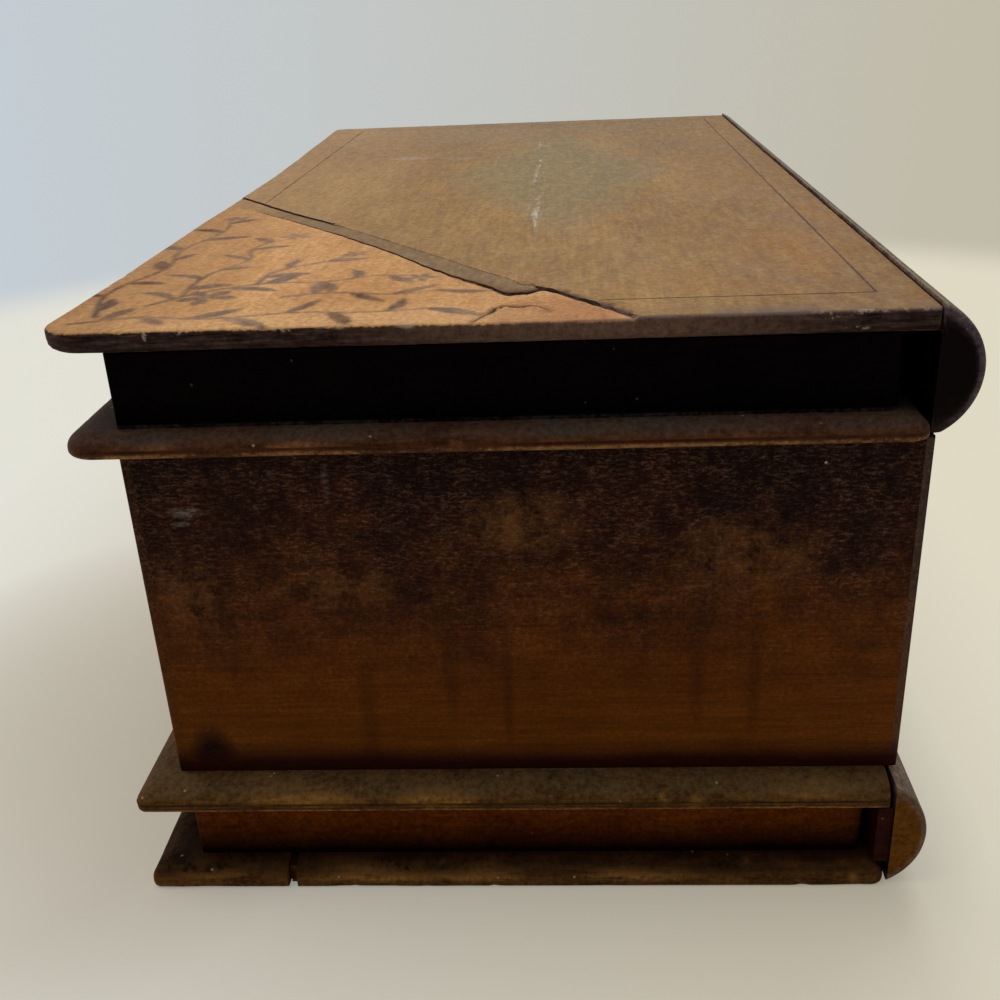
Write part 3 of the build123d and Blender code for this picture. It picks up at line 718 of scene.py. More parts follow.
    # chips in the arris and lower on the near edge, worn pale
    broken = add("MapRange", summed(add, patch, (fine, 1.4)), 1.2, 1.32, 0.0, 0.75)
    for middle, height, wide, high in (
            (-58, 116.5, 5, 0.9), (-37, 116.6, 2.5, 0.8), (-5, 116.8, 2.5, 0.8), (59, 116.8, 6, 0.8),
            (67, 116.85, 10, 0.5), (60.5, 113.8, 3.5, 0.5), (57, 115.8, 2.5, 0.35), (-61.5, 115.4, 0.5, 1.6)):
        chip = spot(add, split, (middle, LID_END, height), (wide, 3, high), soft=0.7)
        colour = coated(add, colour, ("#b6a68f", chip, broken, tilted))
    rough = add("MapRange", patch, 0.3, 0.7, 0.55, 0.75)
    relief = summed(add, fine, (fibre, 0.5), (patch, 1.2))
    return finish(material, colour, relief, 0.35, 0.3, Roughness=rough, Specular_IOR_Level=0.07)


def brass():
    """Rolled brass, tarnished brown in patches and rubbed bright between, with a soft blurred shine."""
    material, add, here, _, _ = begin("tarnished rolled brass")
    cloud = add("TexNoise", Vector=here, Scale=260.0, Detail=5.0, Roughness=0.65)
    colour = add("ValToRGB", cloud, stops=[(0.36, "#6f5326"), (0.5, "#a8853f"), (0.64, "#c6a457")])
    rough = add("MapRange", cloud, 0.35, 0.65, 0.55, 0.28)
    # rolling marks 0.15 mm apart
    marks = drawn(add, here, (6500, 260, 6500), detail=3.0, rough=0.5)
    return finish(material, colour, marks, 0.25, 0.05, Roughness=rough, Metallic=1.0)


def dull_steel():
    """Small cut brads and hinge pins: dark steel with brown bloom, dull and slightly pitted."""
    material, add, here, _, _ = begin("browned steel")
    cloud = add("TexNoise", Vector=here, Scale=900.0, Detail=4.0, Roughness=0.7)
    colour = add("ValToRGB", cloud, stops=[(0.4, "#3b2c22"), (0.55, "#6b655f"), (0.7, "#8b8782")])
    rough = add("MapRange", cloud, 0.4, 0.6, 0.65, 0.4)
    return finish(material, colour, cloud, 0.4, 0.05, Roughness=rough, Metallic=0.9)


def silvered_glass():
    """Old silvered plate glass: a clear, slightly wavy mirror, with brown spots where damp got behind
    the silver, thicker towards its edges."""
    material, add, here, split, _ = begin("old silvered glass")
    spots = add("TexNoise", Vector=here, Scale=130.0, Detail=6.0, Roughness=0.7)
    low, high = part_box("mirror_glass")
    near_edge = []
    for axis in (0, 1):
        middle, reach = (low[axis] + high[axis]) / 2, (high[axis] - low[axis]) / 2
        away = apart(add, split.outputs[axis], middle)
        near_edge.append(add("MapRange", away, reach - 22 * MM, reach - 4 * MM, 0.0, 0.2))
    rim = add("Math", near_edge[0], near_edge[1], operation="MAXIMUM")
    foxed = add("MapRange", add("Math", spots, rim, operation="ADD"), 0.66, 0.76)
    colour = coated(add, "#d3d6d2", ("#4c3d2c", foxed))
    metal = add("MapRange", foxed, 0.0, 1.0, 1.0, 0.25)
    rough = add("MapRange", foxed, 0.0, 1.0, 0.035, 0.3)
    wave = add("TexNoise", Vector=here, Scale=28.0, Detail=1.0)
    return finish(material, colour, wave, 0.1, 0.4, Roughness=rough, Metallic=metal)


def lining_paper():
    """Glued lining paper: thin, matt, warm buff, with short fibres, faint brush ripples from the paste
    and brown foxing."""
    material, add, here, _, _ = begin("aged lining paper")
    cloud = add("TexNoise", Vector=here, Scale=30.0, Detail=5.0, Roughness=0.6)
    fibre = add("TexNoise", Vector=here, Scale=1300.0, Detail=4.0, Roughness=0.7)
    colour = add("ValToRGB", cloud, stops=[(0.34, "#a48a63"), (0.5, "#bfa77d"), (0.68, "#cdb88f")])
    colour = mottled(add, colour, (fibre, 0.3, 0.7, 0.88, 1.1))
    spread = add("TexVoronoi", Vector=here, Scale=75.0, feature="F1")
    colour = coated(add, colour, ("#8a6238", add("MapRange", spread, 0.05, 0.2, 0.5, 0.0)))
    paste = add("TexNoise", Vector=here, Scale=160.0, Detail=3.0)
    relief = summed(add, fibre, (paste, 3.0))
    return finish(material, colour, relief, 0.3, 0.2, Roughness=0.92, Specular_IOR_Level=0.25)


def raw_board():
    """Thin unfinished softwood board behind the mirror: dry, pale brown and straight-grained."""
    material, add, here, _, _ = begin("raw softwood")
    fibre = drawn(add, here, (500, 22, 500), detail=6.0, rough=0.65)
    colour = add("ValToRGB", fibre, stops=[(0.34, "#76573a"), (0.5, "#957352"), (0.66, "#ab8a66")])
    return finish(material, colour, fibre, 0.4, 0.2, Roughness=0.85)


# The top board's split corner and painted sprays


# the split's two sides in plan, fore-edge to near end, and the short crack that leaves it
UPPER_SIDE = [(-84.8, -7.0), (-79.5, -14.5), (-71.9, -25.0), (-63.9, -36.4), (-56.4, -46.2), (-49.6, -54.6),
              (-43.9, -61.8), (-30.9, -79.5), (-14.9, -102.0), (-7.5, -112.9), (-1.0, -121.3), (3.2, -127.7),
              (7.1, -131.6), (8.6, -132.4), (10.1, -134.0), (13.6, -139.4), (17.5, -144.3), (21.6, -150.2),
              (25.7, -157.6)]
LOWER_SIDE = [(-84.8, -20.0), (-70.7, -36.4), (-53.9, -57.0), (-40.7, -74.5), (-29.4, -90.6), (-23.6, -99.3),
              (-15.8, -112.0), (-10.0, -120.0), (-4.6, -126.7), (-0.4, -132.6), (1.2, -134.4), (3.4, -134.7),
              (4.9, -134.1), (6.0, -132.8), (7.1, -131.6), (8.6, -132.4), (10.1, -134.0), (13.6, -139.4),
              (17.5, -144.3), (21.6, -150.2), (25.7, -157.6)]
SIDE_CRACK = [(-4.6, -155.6), (-3.9, -152.7), (-2.8, -150.1), (-1.9, -148.2), (-1.1, -146.2), (-0.8, -144.4),
              (0.1, -144.2), (0.6, -142.9), (1.7, -143.1), (2.9, -143.8), (4.1, -144.0), (5.0, -143.4),
              (6.2, -143.6), (7.5, -144.4), (8.4, -145.9), (9.3, -148.0)]
# how far the fore-edge is worn in, from the near end to the far end
FORE_HOLLOW = [(LID_END, 1.8), (-131.0, 2.4), (-110.0, 2.8), (-50.0, 2.9), (-14.0, 3.6), (20.0, 3.9),
               (62.0, 3.1), (88.0, 2.2), (118.0, 1.5), (-LID_END, 0.4)]
SLANT = 0.59                            # a side's distance, as a share of its distance along Y
SUNK = 0.42                             # how deep the corner lies at its near end
BORDER = (-70.3, 66.9, -142.5, 142.5)   # the cut line round the rest of the top
BORDER_REACH, BORDER_DEPTH = 0.25, 0.25


def along(line, x):
    """The Y of a line drawn from low X to high X."""
    return np.interp(x, [p[0] for p in line], [p[1] for p in line])


def ragged_line(line, seed, rough=0.3, step=0.7):
    """A split's line with the small steps of torn grain."""
    rng = random.Random(seed)
    xs = np.arange(line[0][0], line[-1][0], step)
    ys = along(line, xs)
    wander = np.array([rng.uniform(-rough, rough) for _ in xs])
    wander = np.convolve(wander, [0.25, 0.5, 0.25], "same") * np.interp(xs, (-20.0, 0.0), (0.6, 1.7))
    return list(zip(xs.tolist(), (ys + wander / SLANT).tolist()))


def distance_to(line, x, y):
    """How far points in plan are from a line of straight runs."""
    best = np.full(np.shape(x), 1e9)
    for (ax, ay), (bx, by) in zip(line[:-1], line[1:]):
        dx, dy = bx - ax, by - ay
        t = np.clip(((x - ax) * dx + (y - ay) * dy) / (dx * dx + dy * dy), 0, 1)
        best = np.minimum(best, np.hypot(x - ax - t * dx, y - ay - t * dy))
    return best


def top_shape(x, y, upper, lower):
    """For points in plan, how far the top lies under its full height, and how much each is sunk
    corner, grey sliver and dark crack."""
    to_upper = (y - along(upper, x)) * SLANT
    to_lower = (y - along(lower, x)) * SLANT
    in_field = to_upper >= 0
    in_sliver = (~in_field) & (to_lower >= 0)
    sliver_drop = np.interp(x, (-79.0, -47.0, -41.0), (0.16, 0.12, 0.0))
    corner_drop = np.interp(x, (-84.0, -25.0, -4.0), (0.2, 0.2, SUNK))
    drop = np.where(in_field, 0.0, np.where(in_sliver, sliver_drop, corner_drop))
    gap = np.interp(x, (-47.0, -43.0, 2.0, 6.0, 21.0, 25.0), (0.36, 0.08, 0.08, 0.42, 0.42, 0.15))
    gap_depth = np.interp(x, (-47.0, -43.0, 2.0, 6.0), (1.1, 0.15, 0.15, 0.75))
    gap_dark = np.interp(x, (-47.0, -43.0, 2.0, 6.0), (1.0, 0.35, 0.35, 1.0))
    near_upper = np.clip(1 - np.abs(to_upper) / gap, 0, 1)
    seam = np.interp(x, (-74.0, -69.0, -12.0, -1.0, 2.0), (0.01, 0.06, 0.12, 0.2, 0.42))
    seam_dark = np.interp(x, (-74.0, -66.0, -20.0, -4.0), (0.0, 0.4, 0.7, 1.0))
    near_lower = np.clip(1 - np.abs(to_lower) / seam, 0, 1)
    near_lower = np.where(x < -72.0, 0.0, near_lower)
    open_at, half = (-2.2, -1.2, 0.2, 0.7, 1.6, 4.6, 5.6), (0.16, 0.6, 0.6, 0.2, 0.75, 0.75, 0.2)
    crack = np.clip(1 - distance_to(SIDE_CRACK, x, y) / np.interp(x, open_at, half), 0, 1)
    crack = crack * np.interp(x, (-1.8, -1.0, 5.0, 6.5), (0.6, 1.0, 1.0, 0.45))
    bx = np.minimum(np.abs(x - BORDER[0]), np.abs(x - BORDER[1]))
    by = np.minimum(np.abs(y - BORDER[2]), np.abs(y - BORDER[3]))
    on_x = (y > BORDER[2] - BORDER_REACH) & (y < BORDER[3] + BORDER_REACH)
    on_y = (x > BORDER[0] - BORDER_REACH) & (x < BORDER[1] + BORDER_REACH)
    to_border = np.minimum(np.where(on_x, bx, 9), np.where(on_y, by, 9))
    groove = np.where(in_field & (to_upper > 0.6), np.clip(1 - to_border / BORDER_REACH, 0, 1), 0)
    drop = np.maximum(drop, drop * 0.5 + near_upper * gap_depth)
    drop = np.maximum(drop, drop + near_lower * 0.35 * seam_dark)
    drop = np.maximum(drop, drop + crack * 0.5)
    drop = drop + groove * BORDER_DEPTH
    dark = np.maximum.reduce([
        np.minimum(near_upper * 1.6, 1) * gap_dark, np.minimum(near_lower * 1.3, 1) * seam_dark,
        np.minimum(crack * 1.5, 1), groove * 0.4])
    sunk = (to_lower < 0).astype(float)
    fade = np.interp(x, (-72.0, -60.0), (0.0, 1.0))
    return drop, sunk, in_sliver * fade, dark


def rounded(points, times=3):
    """A line with its corners cut, over and over, until it curves."""
    for _ in range(times):
        new = [points[0]]
        for (ax, ay), (bx, by) in zip(points[:-1], points[1:]):
            new.append((ax * 0.75 + bx * 0.25, ay * 0.75 + by * 0.25))
            new.append((ax * 0.25 + bx * 0.75, ay * 0.25 + by * 0.75))
        points = new + [points[-1]]
    return points


def spray_strokes(stem_width, leaf_length):
    """Brush strokes of plain leafy sprays: lines with a half width at each point, in millimetres."""
    rng = random.Random(23)
    stems = [
        [(-78, -149), (-66, -143), (-52, -148), (-38, -143), (-24, -146), (-10, -143)],
        [(-74, -143), (-79, -124), (-71, -104), (-77, -86), (-70, -66), (-73, -48)],
        [(-67, -137), (-58, -126), (-47, -120), (-36, -121), (-27, -115), (-17, -118)],
        [(-62, -130), (-63, -112), (-55, -99), (-60, -84), (-52, -74)],
        [(-50, -121), (-48, -108), (-38, -102), (-34, -95)],
        [(-42, -133), (-32, -129), (-22, -134), (-12, -129)],
    ]
    strokes = []
    for line in stems:
        line = rounded([(x + rng.uniform(-1, 1), y + rng.uniform(-1, 1)) for x, y in line])
        count = len(line)
        strokes.append((line, [stem_width / 2 * (1.25 - 0.8 * i / count) for i in range(count)]))
        side = rng.choice((-1, 1))
        run = 0.0
        wait = 6.0
        for (ax, ay), (bx, by) in zip(line[:-1], line[1:]):
            run += math.hypot(bx - ax, by - ay)
            if run < wait:
                continue
            run = 0.0
            wait = rng.uniform(6.0, 10.5)
            side = -side
            heading = math.atan2(by - ay, bx - ax) + side * rng.uniform(0.5, 1.1)
            reach = leaf_length * rng.uniform(0.6, 1.1)
            bend = side * rng.uniform(-0.5, 0.9)
            leaf = [(ax, ay)]
            for _ in range(7):
                heading += bend / 7
                lx, ly = leaf[-1]
                leaf.append((lx + reach / 7 * math.cos(heading), ly + reach / 7 * math.sin(heading)))
            wide = rng.uniform(1.1, 1.9)
            strokes.append((leaf, [wide * math.sin(math.pi * (0.08 + 0.9 * i / 7)) ** 0.8 for i in range(8)]))
    for cx, cy, size in (
            (-57, -131, 5.5), (-52, -73, 3.6), (-17, -119, 3.2), (-73, -47, 3.0), (-34, -95, 2.8)):
        turn = rng.uniform(0, 1.2)
        for k in range(5):
            a = turn + k * 2 * math.pi / 5 + rng.uniform(-0.15, 0.15)
            across, up = size * math.cos(a), size * math.sin(a)
            petal = [(cx + t * across, cy + t * up) for t in (0.15, 0.45, 0.75, 1.0)]
            strokes.append((petal, [0.14 * size, 0.24 * size, 0.27 * size, 0.12 * size]))
    return strokes


def paint_amount(x, y, strokes):
    """How much paint lies on points in plan, softening over a brush's edge."""
    amount = np.zeros(np.shape(x))
    for line, widths in strokes:
        for (ax, ay), (bx, by), wa, wb in zip(line[:-1], line[1:], widths[:-1], widths[1:]):
            reach = max(wa, wb) + 0.5
            near = (x > min(ax, bx) - reach) & (x < max(ax, bx) + reach)
            near &= (y > min(ay, by) - reach) & (y < max(ay, by) + reach)
            if not near.any():
                continue
            px, py = x[near], y[near]
            dx, dy = bx - ax, by - ay
            t = np.clip(((px - ax) * dx + (py - ay) * dy) / max(dx * dx + dy * dy, 1e-9), 0, 1)
            far = np.hypot(px - ax - t * dx, py - ay - t * dy) - (wa + (wb - wa) * t)
            amount[near] = np.maximum(amount[near], np.clip(0.5 - far / 0.7, 0, 1))
    return amount


def top_board_mesh(stem_width, leaf_length):
    """The top board: worn ringed edges, and a top that follows the split, cracks and border exactly."""
    upper, lower = ragged_line(UPPER_SIDE, 3), ragged_line(LOWER_SIDE, 4)
    plan = {"box": (-83.8, 75.15, LID_END, -LID_END), "corners": (8.0, 0.3, 0.3, 3.8),
            "round_front": True, "round_back": False, "step": 1.0, "hollow": FORE_HOLLOW}
    z0, z1, top_round = 112.6, 117.0, 0.9
    rings = [r for r in edge_rings(z0, z1, top_round, 2.0) if not (r[2] == z1 and r[1] > 0)]
    loops = []
    for inset, flat, z, _ in rings:
        ring = np.array(plan_ring(plan, inset, flat))
        drop = top_shape(ring[:, 0], ring[:, 1], upper, lower)[0]
        share = min(1.0, max(0.0, (z - z0 - 1.0) / (z1 - z0 - 1.0 - top_round)))
        loops.append([(px, py, z - d * share) for (px, py), d in zip(ring.tolist(), drop)])
    points, faces, exposure = ringed_shell(loops, [w for _, _, _, w in rings], caps=(True, False))
    first = (len(loops) - 1) * len(loops[0])
    border_ring = [Vector((p[0], p[1])) for p in loops[-1]]
    # lines that the triangles keep to
    count = len(border_ring)
    verts = list(border_ring)
    edges = [(i, (i + 1) % count) for i in range(count)]
    x0, x1, y0, y1 = plan["box"]

    def inside(px, py, rim=1.35):
        fore = x0 + hollow_at(plan, py)
        if not (fore + rim < px < x1 - 0.4 and y0 + rim < py < y1 - rim):
            return False
        return math.hypot(min(0, px - fore - 8.0), min(0, py - y0 - 8.0)) < 8.0 - rim

    def keep(line):
        last = None
        for px, py in line:
            if inside(px, py):
                verts.append(Vector((px, py)))
                if last is not None:
                    edges.append((last, len(verts) - 1))
                last = len(verts) - 1
            else:
                last = None

    for line, offsets in ((upper, (-0.42, -0.12, 0.0, 0.12, 0.42)), (lower, (-0.4, -0.12, 0.0, 0.12))):
        for off in offsets:
            if abs(off) > 0.2:
                runs = [[(px, py + off / SLANT) for px, py in line if px < -45.0 and line is upper],
                        [(px, py + off / SLANT) for px, py in line if px > (6.0 if off > 0 else 4.0)]]
            else:
                runs = [[(px, py + off / SLANT) for px, py in line]]
            for run in runs:
                keep(run)
    crack = []
    for (ax, ay), (bx, by) in zip(SIDE_CRACK[:-1], SIDE_CRACK[1:]):
        crack += [(ax + (bx - ax) * t / 4, ay + (by - ay) * t / 4) for t in range(4)]
    for off in (-0.7, -0.2, 0.0, 0.2, 0.7):
        keep([(px, py + off) for px, py in crack if abs(off) < 0.5 or -1.5 < px < 5.6])
    bx0, bx1, by0, by1 = BORDER
    for off in (-BORDER_REACH, 0.0, BORDER_REACH):
        corners = [
            (bx0 - off, by0 - off), (bx1 + off, by0 - off), (bx1 + off, by1 + off), (bx0 - off, by1 + off)]
        for (ax, ay), (bx, by) in zip(corners, corners[1:] + corners[:1]):
            steps = int(math.hypot(bx - ax, by - ay) / 2.0)
            run = [(ax + (bx - ax) * t / steps, ay + (by - ay) * t / steps) for t in range(steps + 1)]
            keep([p for p in run if p[1] > along(upper, p[0]) + 1.2])
    # points between the lines, closer together where there is paint
    rng = np.random.default_rng(5)
    for spacing, painted in ((1.7, False), (0.72, True)):
        gx, gy = np.meshgrid(np.arange(x0 + 1.5, x1, spacing), np.arange(y0 + 1.5, y1 - 1, spacing))
        gx = gx.ravel() + rng.uniform(-0.25, 0.25, gx.size) * spacing
        gy = gy.ravel() + rng.uniform(-0.25, 0.25, gy.size) * spacing
        in_corner = (gy - along(lower, gx)) * SLANT < 0.0
        from_sides = [np.abs((gy - along(side, gx)) * SLANT) for side in (upper, lower)]
        clear = np.minimum(*from_sides) > 0.75
        clear &= distance_to(SIDE_CRACK, gx, gy) > 0.9
        to_x = np.minimum(np.abs(gx - bx0), np.abs(gx - bx1))
        to_y = np.minimum(np.abs(gy - by0), np.abs(gy - by1))
        clear &= in_corner | (np.minimum(to_x, to_y) > 0.9)
        for px, py in zip(gx[clear & (in_corner == painted)], gy[clear & (in_corner == painted)]):
            if inside(px, py, 1.7):
                verts.append(Vector((float(px), float(py))))
    flat, _, triangles, origins, _, _ = geometry.delaunay_2d_cdt(verts, edges, [], 1, 1e-5)
    # the shell's last ring is shared, the rest is new
    index = {}
    for k, came_from in enumerate(origins):
        shared = [i for i in came_from if i < count]
        index[k] = first + shared[0] if shared else None
    px = np.array([v[0] for v in flat])
    py = np.array([v[1] for v in flat])
    drop = top_shape(px, py, upper, lower)[0]
    fore = x0 + np.array([hollow_at(plan, y) for y in py])
    away = np.minimum.reduce([px - fore, py - y0, y1 - py])
    for k in range(len(flat)):
        if index[k] is None:
            index[k] = len(points)
            points.append((float(px[k]), float(py[k]), z1 - float(drop[k])))
            exposure.append(0.8 * min(1.0, max(0.0, 1 - (away[k] - top_round) / 2.2)))
    for triangle in triangles:
        a, b, c = (index[k] for k in triangle)
        turn = (points[b][0] - points[a][0]) * (points[c][1] - points[a][1])
        turn -= (points[b][1] - points[a][1]) * (points[c][0] - points[a][0])
        faces.append((a, b, c) if turn > 0 else (a, c, b))
    xs, ys, zs = (np.array([p[i] for p in points]) for i in range(3))
    _, sunk, sliver, dark = top_shape(xs, ys, upper, lower)
    on_top = zs > z1 - 2.4
    paint = paint_amount(xs, ys, spray_strokes(stem_width, leaf_length)) * sunk
    layers = {"arris": exposure, "sunk": sunk, "sliver": sliver, "crack": dark * on_top,
              "paint": paint * on_top}
    return points, faces, layers


# Spines


def spine_loop(axis, flat, foot, radius, count=44):
    """A spine's outline in the XZ plane at one radius: the round, then the foot and the flat."""
    cx, cz = axis
    half = math.sqrt(radius ** 2 - (flat - cx) ** 2)
    start = math.atan2(half, flat - cx)
    stop = -start
    if foot is not None:
        ease = math.acos((flat + 0.4 - cx) / radius)
        stop = -min(ease, math.asin(min(1.0, (cz - foot) / radius)))
        foot = cz + radius * math.sin(stop)
    loop = []
    for i in range(count + 1):
        a = start + (stop - start) * i / count
        loop.append((cx + radius * math.cos(a), cz + radius * math.sin(a)))
    low = loop[-1]
    if foot is not None:
        for i in range(1, 5):
            loop.append((low[0] + (flat - low[0]) * i / 4, foot))
    bottom = loop[-1]
    for i in range(1, 8):
        loop.append((flat, bottom[1] + (loop[0][1] - bottom[1]) * i / 8))
    return loop


def spine_mesh(axis, flat, foot, radius, y0, y1, end_round, step=1.0):
    """A half-round spine with its ends eased, as loops along Y."""
    turns = [math.pi / 2 * i / 5 for i in range(6)]
    reach = radius - end_round
    near = [(y0 + end_round * (1 - math.cos(a)), reach + end_round * math.sin(a), 1.0) for a in turns]
    middle = np.arange(y0 + end_round + step, y1 - end_round - step / 2, step)
    body = [(float(y), radius, 0.22) for y in middle]
    far = [(y0 + y1 - y, r, w) for y, r, w in reversed(near)]
    loops, weights = [], []
    for y, r, w in near + body + far:
        loops.append([(px, y, pz) for px, pz in spine_loop(axis, flat, foot, r)])
        weights.append(w)

    def capped(loop, y):
        """An end face's rings: smaller copies of the outline in its plane."""
        cx = sum(p[0] for p in loop) / len(loop)
        cz = sum(p[2] for p in loop) / len(loop)
        rings = []
        for share in (0.94, 0.86, 0.72, 0.4):
            rings.append([(cx + (p[0] - cx) * share, y, cz + (p[2] - cz) * share) for p in loop])
        return rings

    start_rings = list(reversed(capped(loops[0], y0)))
    end_rings = capped(loops[-1], y1)
    loops = start_rings + loops + end_rings
    weights = [0.0, 0.0, 0.1, 0.6] + weights + [0.6, 0.1, 0.0, 0.0]
    points, faces, exposure = ringed_shell(loops, weights)
    around = len(loops[0])
    exposure = [0.0 if i % around >= around - 7 else w for i, w in enumerate(exposure)]
    return points, faces, exposure


# The table and the room


def table_top(colour):
    """Matt painted board: plain and pale, with the faintest unevenness. To the eye it is pale beyond the
    box's soft shadow, most on the spine side, and turns into a slightly darker wall half a metre off."""
    material, add, here, place_on, _ = begin("matt white table top")
    cloud = add("TexNoise", Vector=here, Scale=6.0, Detail=3.0)
    colour = mottled(add, colour, (cloud, 0.3, 0.7, 0.97, 1.03))
    paint = add("BsdfPrincipled", Base_Color=colour, Roughness=0.9, Specular_IOR_Level=0.2)
    beyond = []
    for axis, half in ((0, 84 * MM), (1, -FOOT_END * MM)):
        size = add("Math", place_on.outputs[axis], operation="ABSOLUTE")
        beyond.append(add("Math", size, -half, operation="ADD"))
    away = add("Math", beyond[0], beyond[1], operation="MAXIMUM")
    gone = add("MapRange", away, 0.0, 120 * MM, 0.35, 1.0)
    lit = add("MapRange", place_on.outputs[0], 75 * MM, 100 * MM, 0.0, 0.35)
    gone = add("Math", gone, lit, operation="ADD", use_clamp=True)
    gone = add("Math", gone, add("LightPath").outputs["Is Camera Ray"], operation="MULTIPLY")
    # bluer on the left, and darker in the box's soft shadow at the fore-edge
    side = add("VectorMath", here, (0.0, -0.35, 0.0), operation="SUBTRACT")
    side = add("SeparateXYZ", add("VectorMath", side, operation="NORMALIZE"))
    warmth = add("MapRange", side.outputs[0], -0.55, 0.3)
    shaded = spot(add, place_on, (-110, -95, 0), (85, 110, 9), soft=0.98)
    table = coated(add, "#e4e3da", ("#dfd9c4", warmth), ("#b3ad9b", shaded, 0.8))
    wall = coated(add, WALL_LEFT, (WALL_RIGHT, warmth))
    distance = add("VectorMath", here, operation="LENGTH")
    behind = add("MapRange", distance.outputs["Value"], 430 * MM, 540 * MM, interpolation_type="SMOOTHSTEP")
    pale = add("Emission", Color=coated(add, table, (wall, behind)))
    add("OutputMaterial", Surface=add("MixShader", gone, paint, pale))
    return material


def even_sky(strength):
    """A room dimmer on the camera's side, and to the eye the same pale wall as the table's far end."""
    world = bpy.data.worlds.new("even sky")
    world.use_nodes = True
    world.node_tree.nodes.clear()
    add = partial(put, world.node_tree)
    way = add("SeparateXYZ", add("TexCoord").outputs["Generated"])
    room = add("Math", add("MapRange", way.outputs[1], -0.7, 0.5, 0.3, 1.0), strength, operation="MULTIPLY")
    light = add("Background", Color="#f4f4f6", Strength=room)
    warmth = add("MapRange", way.outputs[0], -0.55, 0.3)
    wall = add("Background", Color=coated(add, WALL_LEFT, (WALL_RIGHT, warmth)), Strength=1.0)
    seen = add("LightPath").outputs["Is Camera Ray"]
    add("OutputWorld", Surface=add("MixShader", seen, light, wall))
    return world


# Hinge screws


def screw_tree():
    """Geometry nodes that set a slotted countersunk head on every point, each turned its own way."""
    tree, add, given = new_tree("slotted_screws", {
        "Head Radius": 1.3 * MM, "Shank Radius": 0.7 * MM, "Head Depth": 0.6 * MM, "Length": 7 * MM,
        "Slot Width": 0.3 * MM, "Slot Depth": 0.4 * MM, "Tip Over": 0.0}, "Metal")
    head = add("GeometryNodeMeshCone", Vertices=20, Radius_Top=given["Head Radius"],
               Radius_Bottom=given["Shank Radius"], Depth=given["Head Depth"])
    sink = add("CombineXYZ", Z=add("Math", given["Head Depth"], -1.0, operation="MULTIPLY"))
    head = add("GeometryNodeTransform", Geometry=head, Translation=sink)
    size = add("CombineXYZ", X=add("Math", given["Head Radius"], 3.0, operation="MULTIPLY"),
               Y=given["Slot Width"], Z=add("Math", given["Slot Depth"], 2.0, operation="MULTIPLY"))
    slot_tool = add("GeometryNodeMeshCube", Size=size)
    slotted = add("GeometryNodeMeshBoolean", Mesh_1=head, Mesh_2=slot_tool, operation="DIFFERENCE")
    rest = add("Math", given["Length"], given["Head Depth"], operation="SUBTRACT")
    middle = add("Math", summed(add, given["Head Depth"], (rest, 0.5)), -1.0, operation="MULTIPLY")
    shank = add("GeometryNodeMeshCylinder", Vertices=12, Radius=given["Shank Radius"], Depth=rest)
    down = add("CombineXYZ", Z=middle)
    shank = add("GeometryNodeTransform", Geometry=shank, Translation=down)
    screw = add("GeometryNodeJoinGeometry", slotted)
    tree.links.new(shank.outputs[0], screw.inputs[0])
    over = add("CombineXYZ", X=given["Tip Over"])
    # each slot stands at its own angle, up to half a turn
    whirl = add("FunctionNodeRandomValue", at={2: 0.0, 3: 3.14}, Seed=given["Seed"], data_type="FLOAT")
    turned = add("CombineXYZ", Z=whirl.outputs[1])
    set_out = add("GeometryNodeInstanceOnPoints", Points=given["Geometry"], Instance=screw, Rotation=turned)
    tipped = add("GeometryNodeRotateInstances", Instances=set_out, Rotation=over)
    end_tree(add, tipped, given["Metal"])
    return tree


# Operators, one for each piece or group of like pieces


class VANITY_OT_stage(bpy.types.Operator):
    """Sets the pale floor, the even sky, the soft lamps and the camera"""

    bl_idname = "vanity.stage"
    bl_label = "Stage"

    def execute(self, context):
        stage = context.scene.vanity_stage
        reach = 60000.0
        corners = [(-reach, -reach, 0), (reach, -reach, 0), (reach, reach, 0), (-reach, reach, 0)]
        floor = new_piece("floor", corners, [(0, 1, 2, 3)], material=table_top(tuple(stage.floor_colour)[:3]))
        context.scene.world = even_sky(stage.sky_strength)

        above_base = (0.0, 0.0, 0.06)
        for name, hung, size, share, shade in (
                ("window", (0.25, 0.95, 1.15), 0.9, 1.0, "#f3f6ff"),
                ("ceiling", (-0.7, -0.1, 1.3), 1.1, 0.7, "#ffedd6")):
            lamp = bpy.data.lights.new(name, "AREA")
            lamp.shape = "DISK"
            lamp.size = size
            lamp.energy = stage.lamp_power * share
            lamp.color = linear(shade)[:3]
            held = bpy.data.objects.new(name, lamp)
            held.location = hung
            held.rotation_euler = (Vector(above_base) - Vector(hung)).to_track_quat("-Z", "Y").to_euler()
            context.scene.collection.objects.link(held)

        lens = bpy.data.cameras.new("camera")
        lens.sensor_width = 36.0
        lens.lens = stage.focal_length
        lens.shift_x, lens.shift_y = stage.camera_shift
        lens.clip_start = 0.01
        camera = bpy.data.objects.new("camera", lens)
        camera.location = stage.camera_place
        camera.rotation_euler = stage.camera_turn
        context.scene.collection.objects.link(camera)
        context.scene.camera = camera
        context.scene.view_settings.view_transform = "Standard"
        return {"FINISHED"}


class VANITY_OT_top_board(bpy.types.Operator):
    """Makes the lid's top board, with its sunk split corner, cut border and painted sprays"""

    bl_idname = "vanity.top_board"
    bl_label = "Top Board"

    def execute(self, context):
        spray = context.scene.vanity_spray
        points, faces, layers = top_board_mesh(spray.stem_width / MM, spray.leaf_length / MM)
        piece = new_piece("top_board", points, faces, layers)
        worn(piece, worn_top_wood(tuple(spray.paint_colour)))
        place(piece, "lid", "top_wood", "lid_top_board")
        return {"FINISHED"}


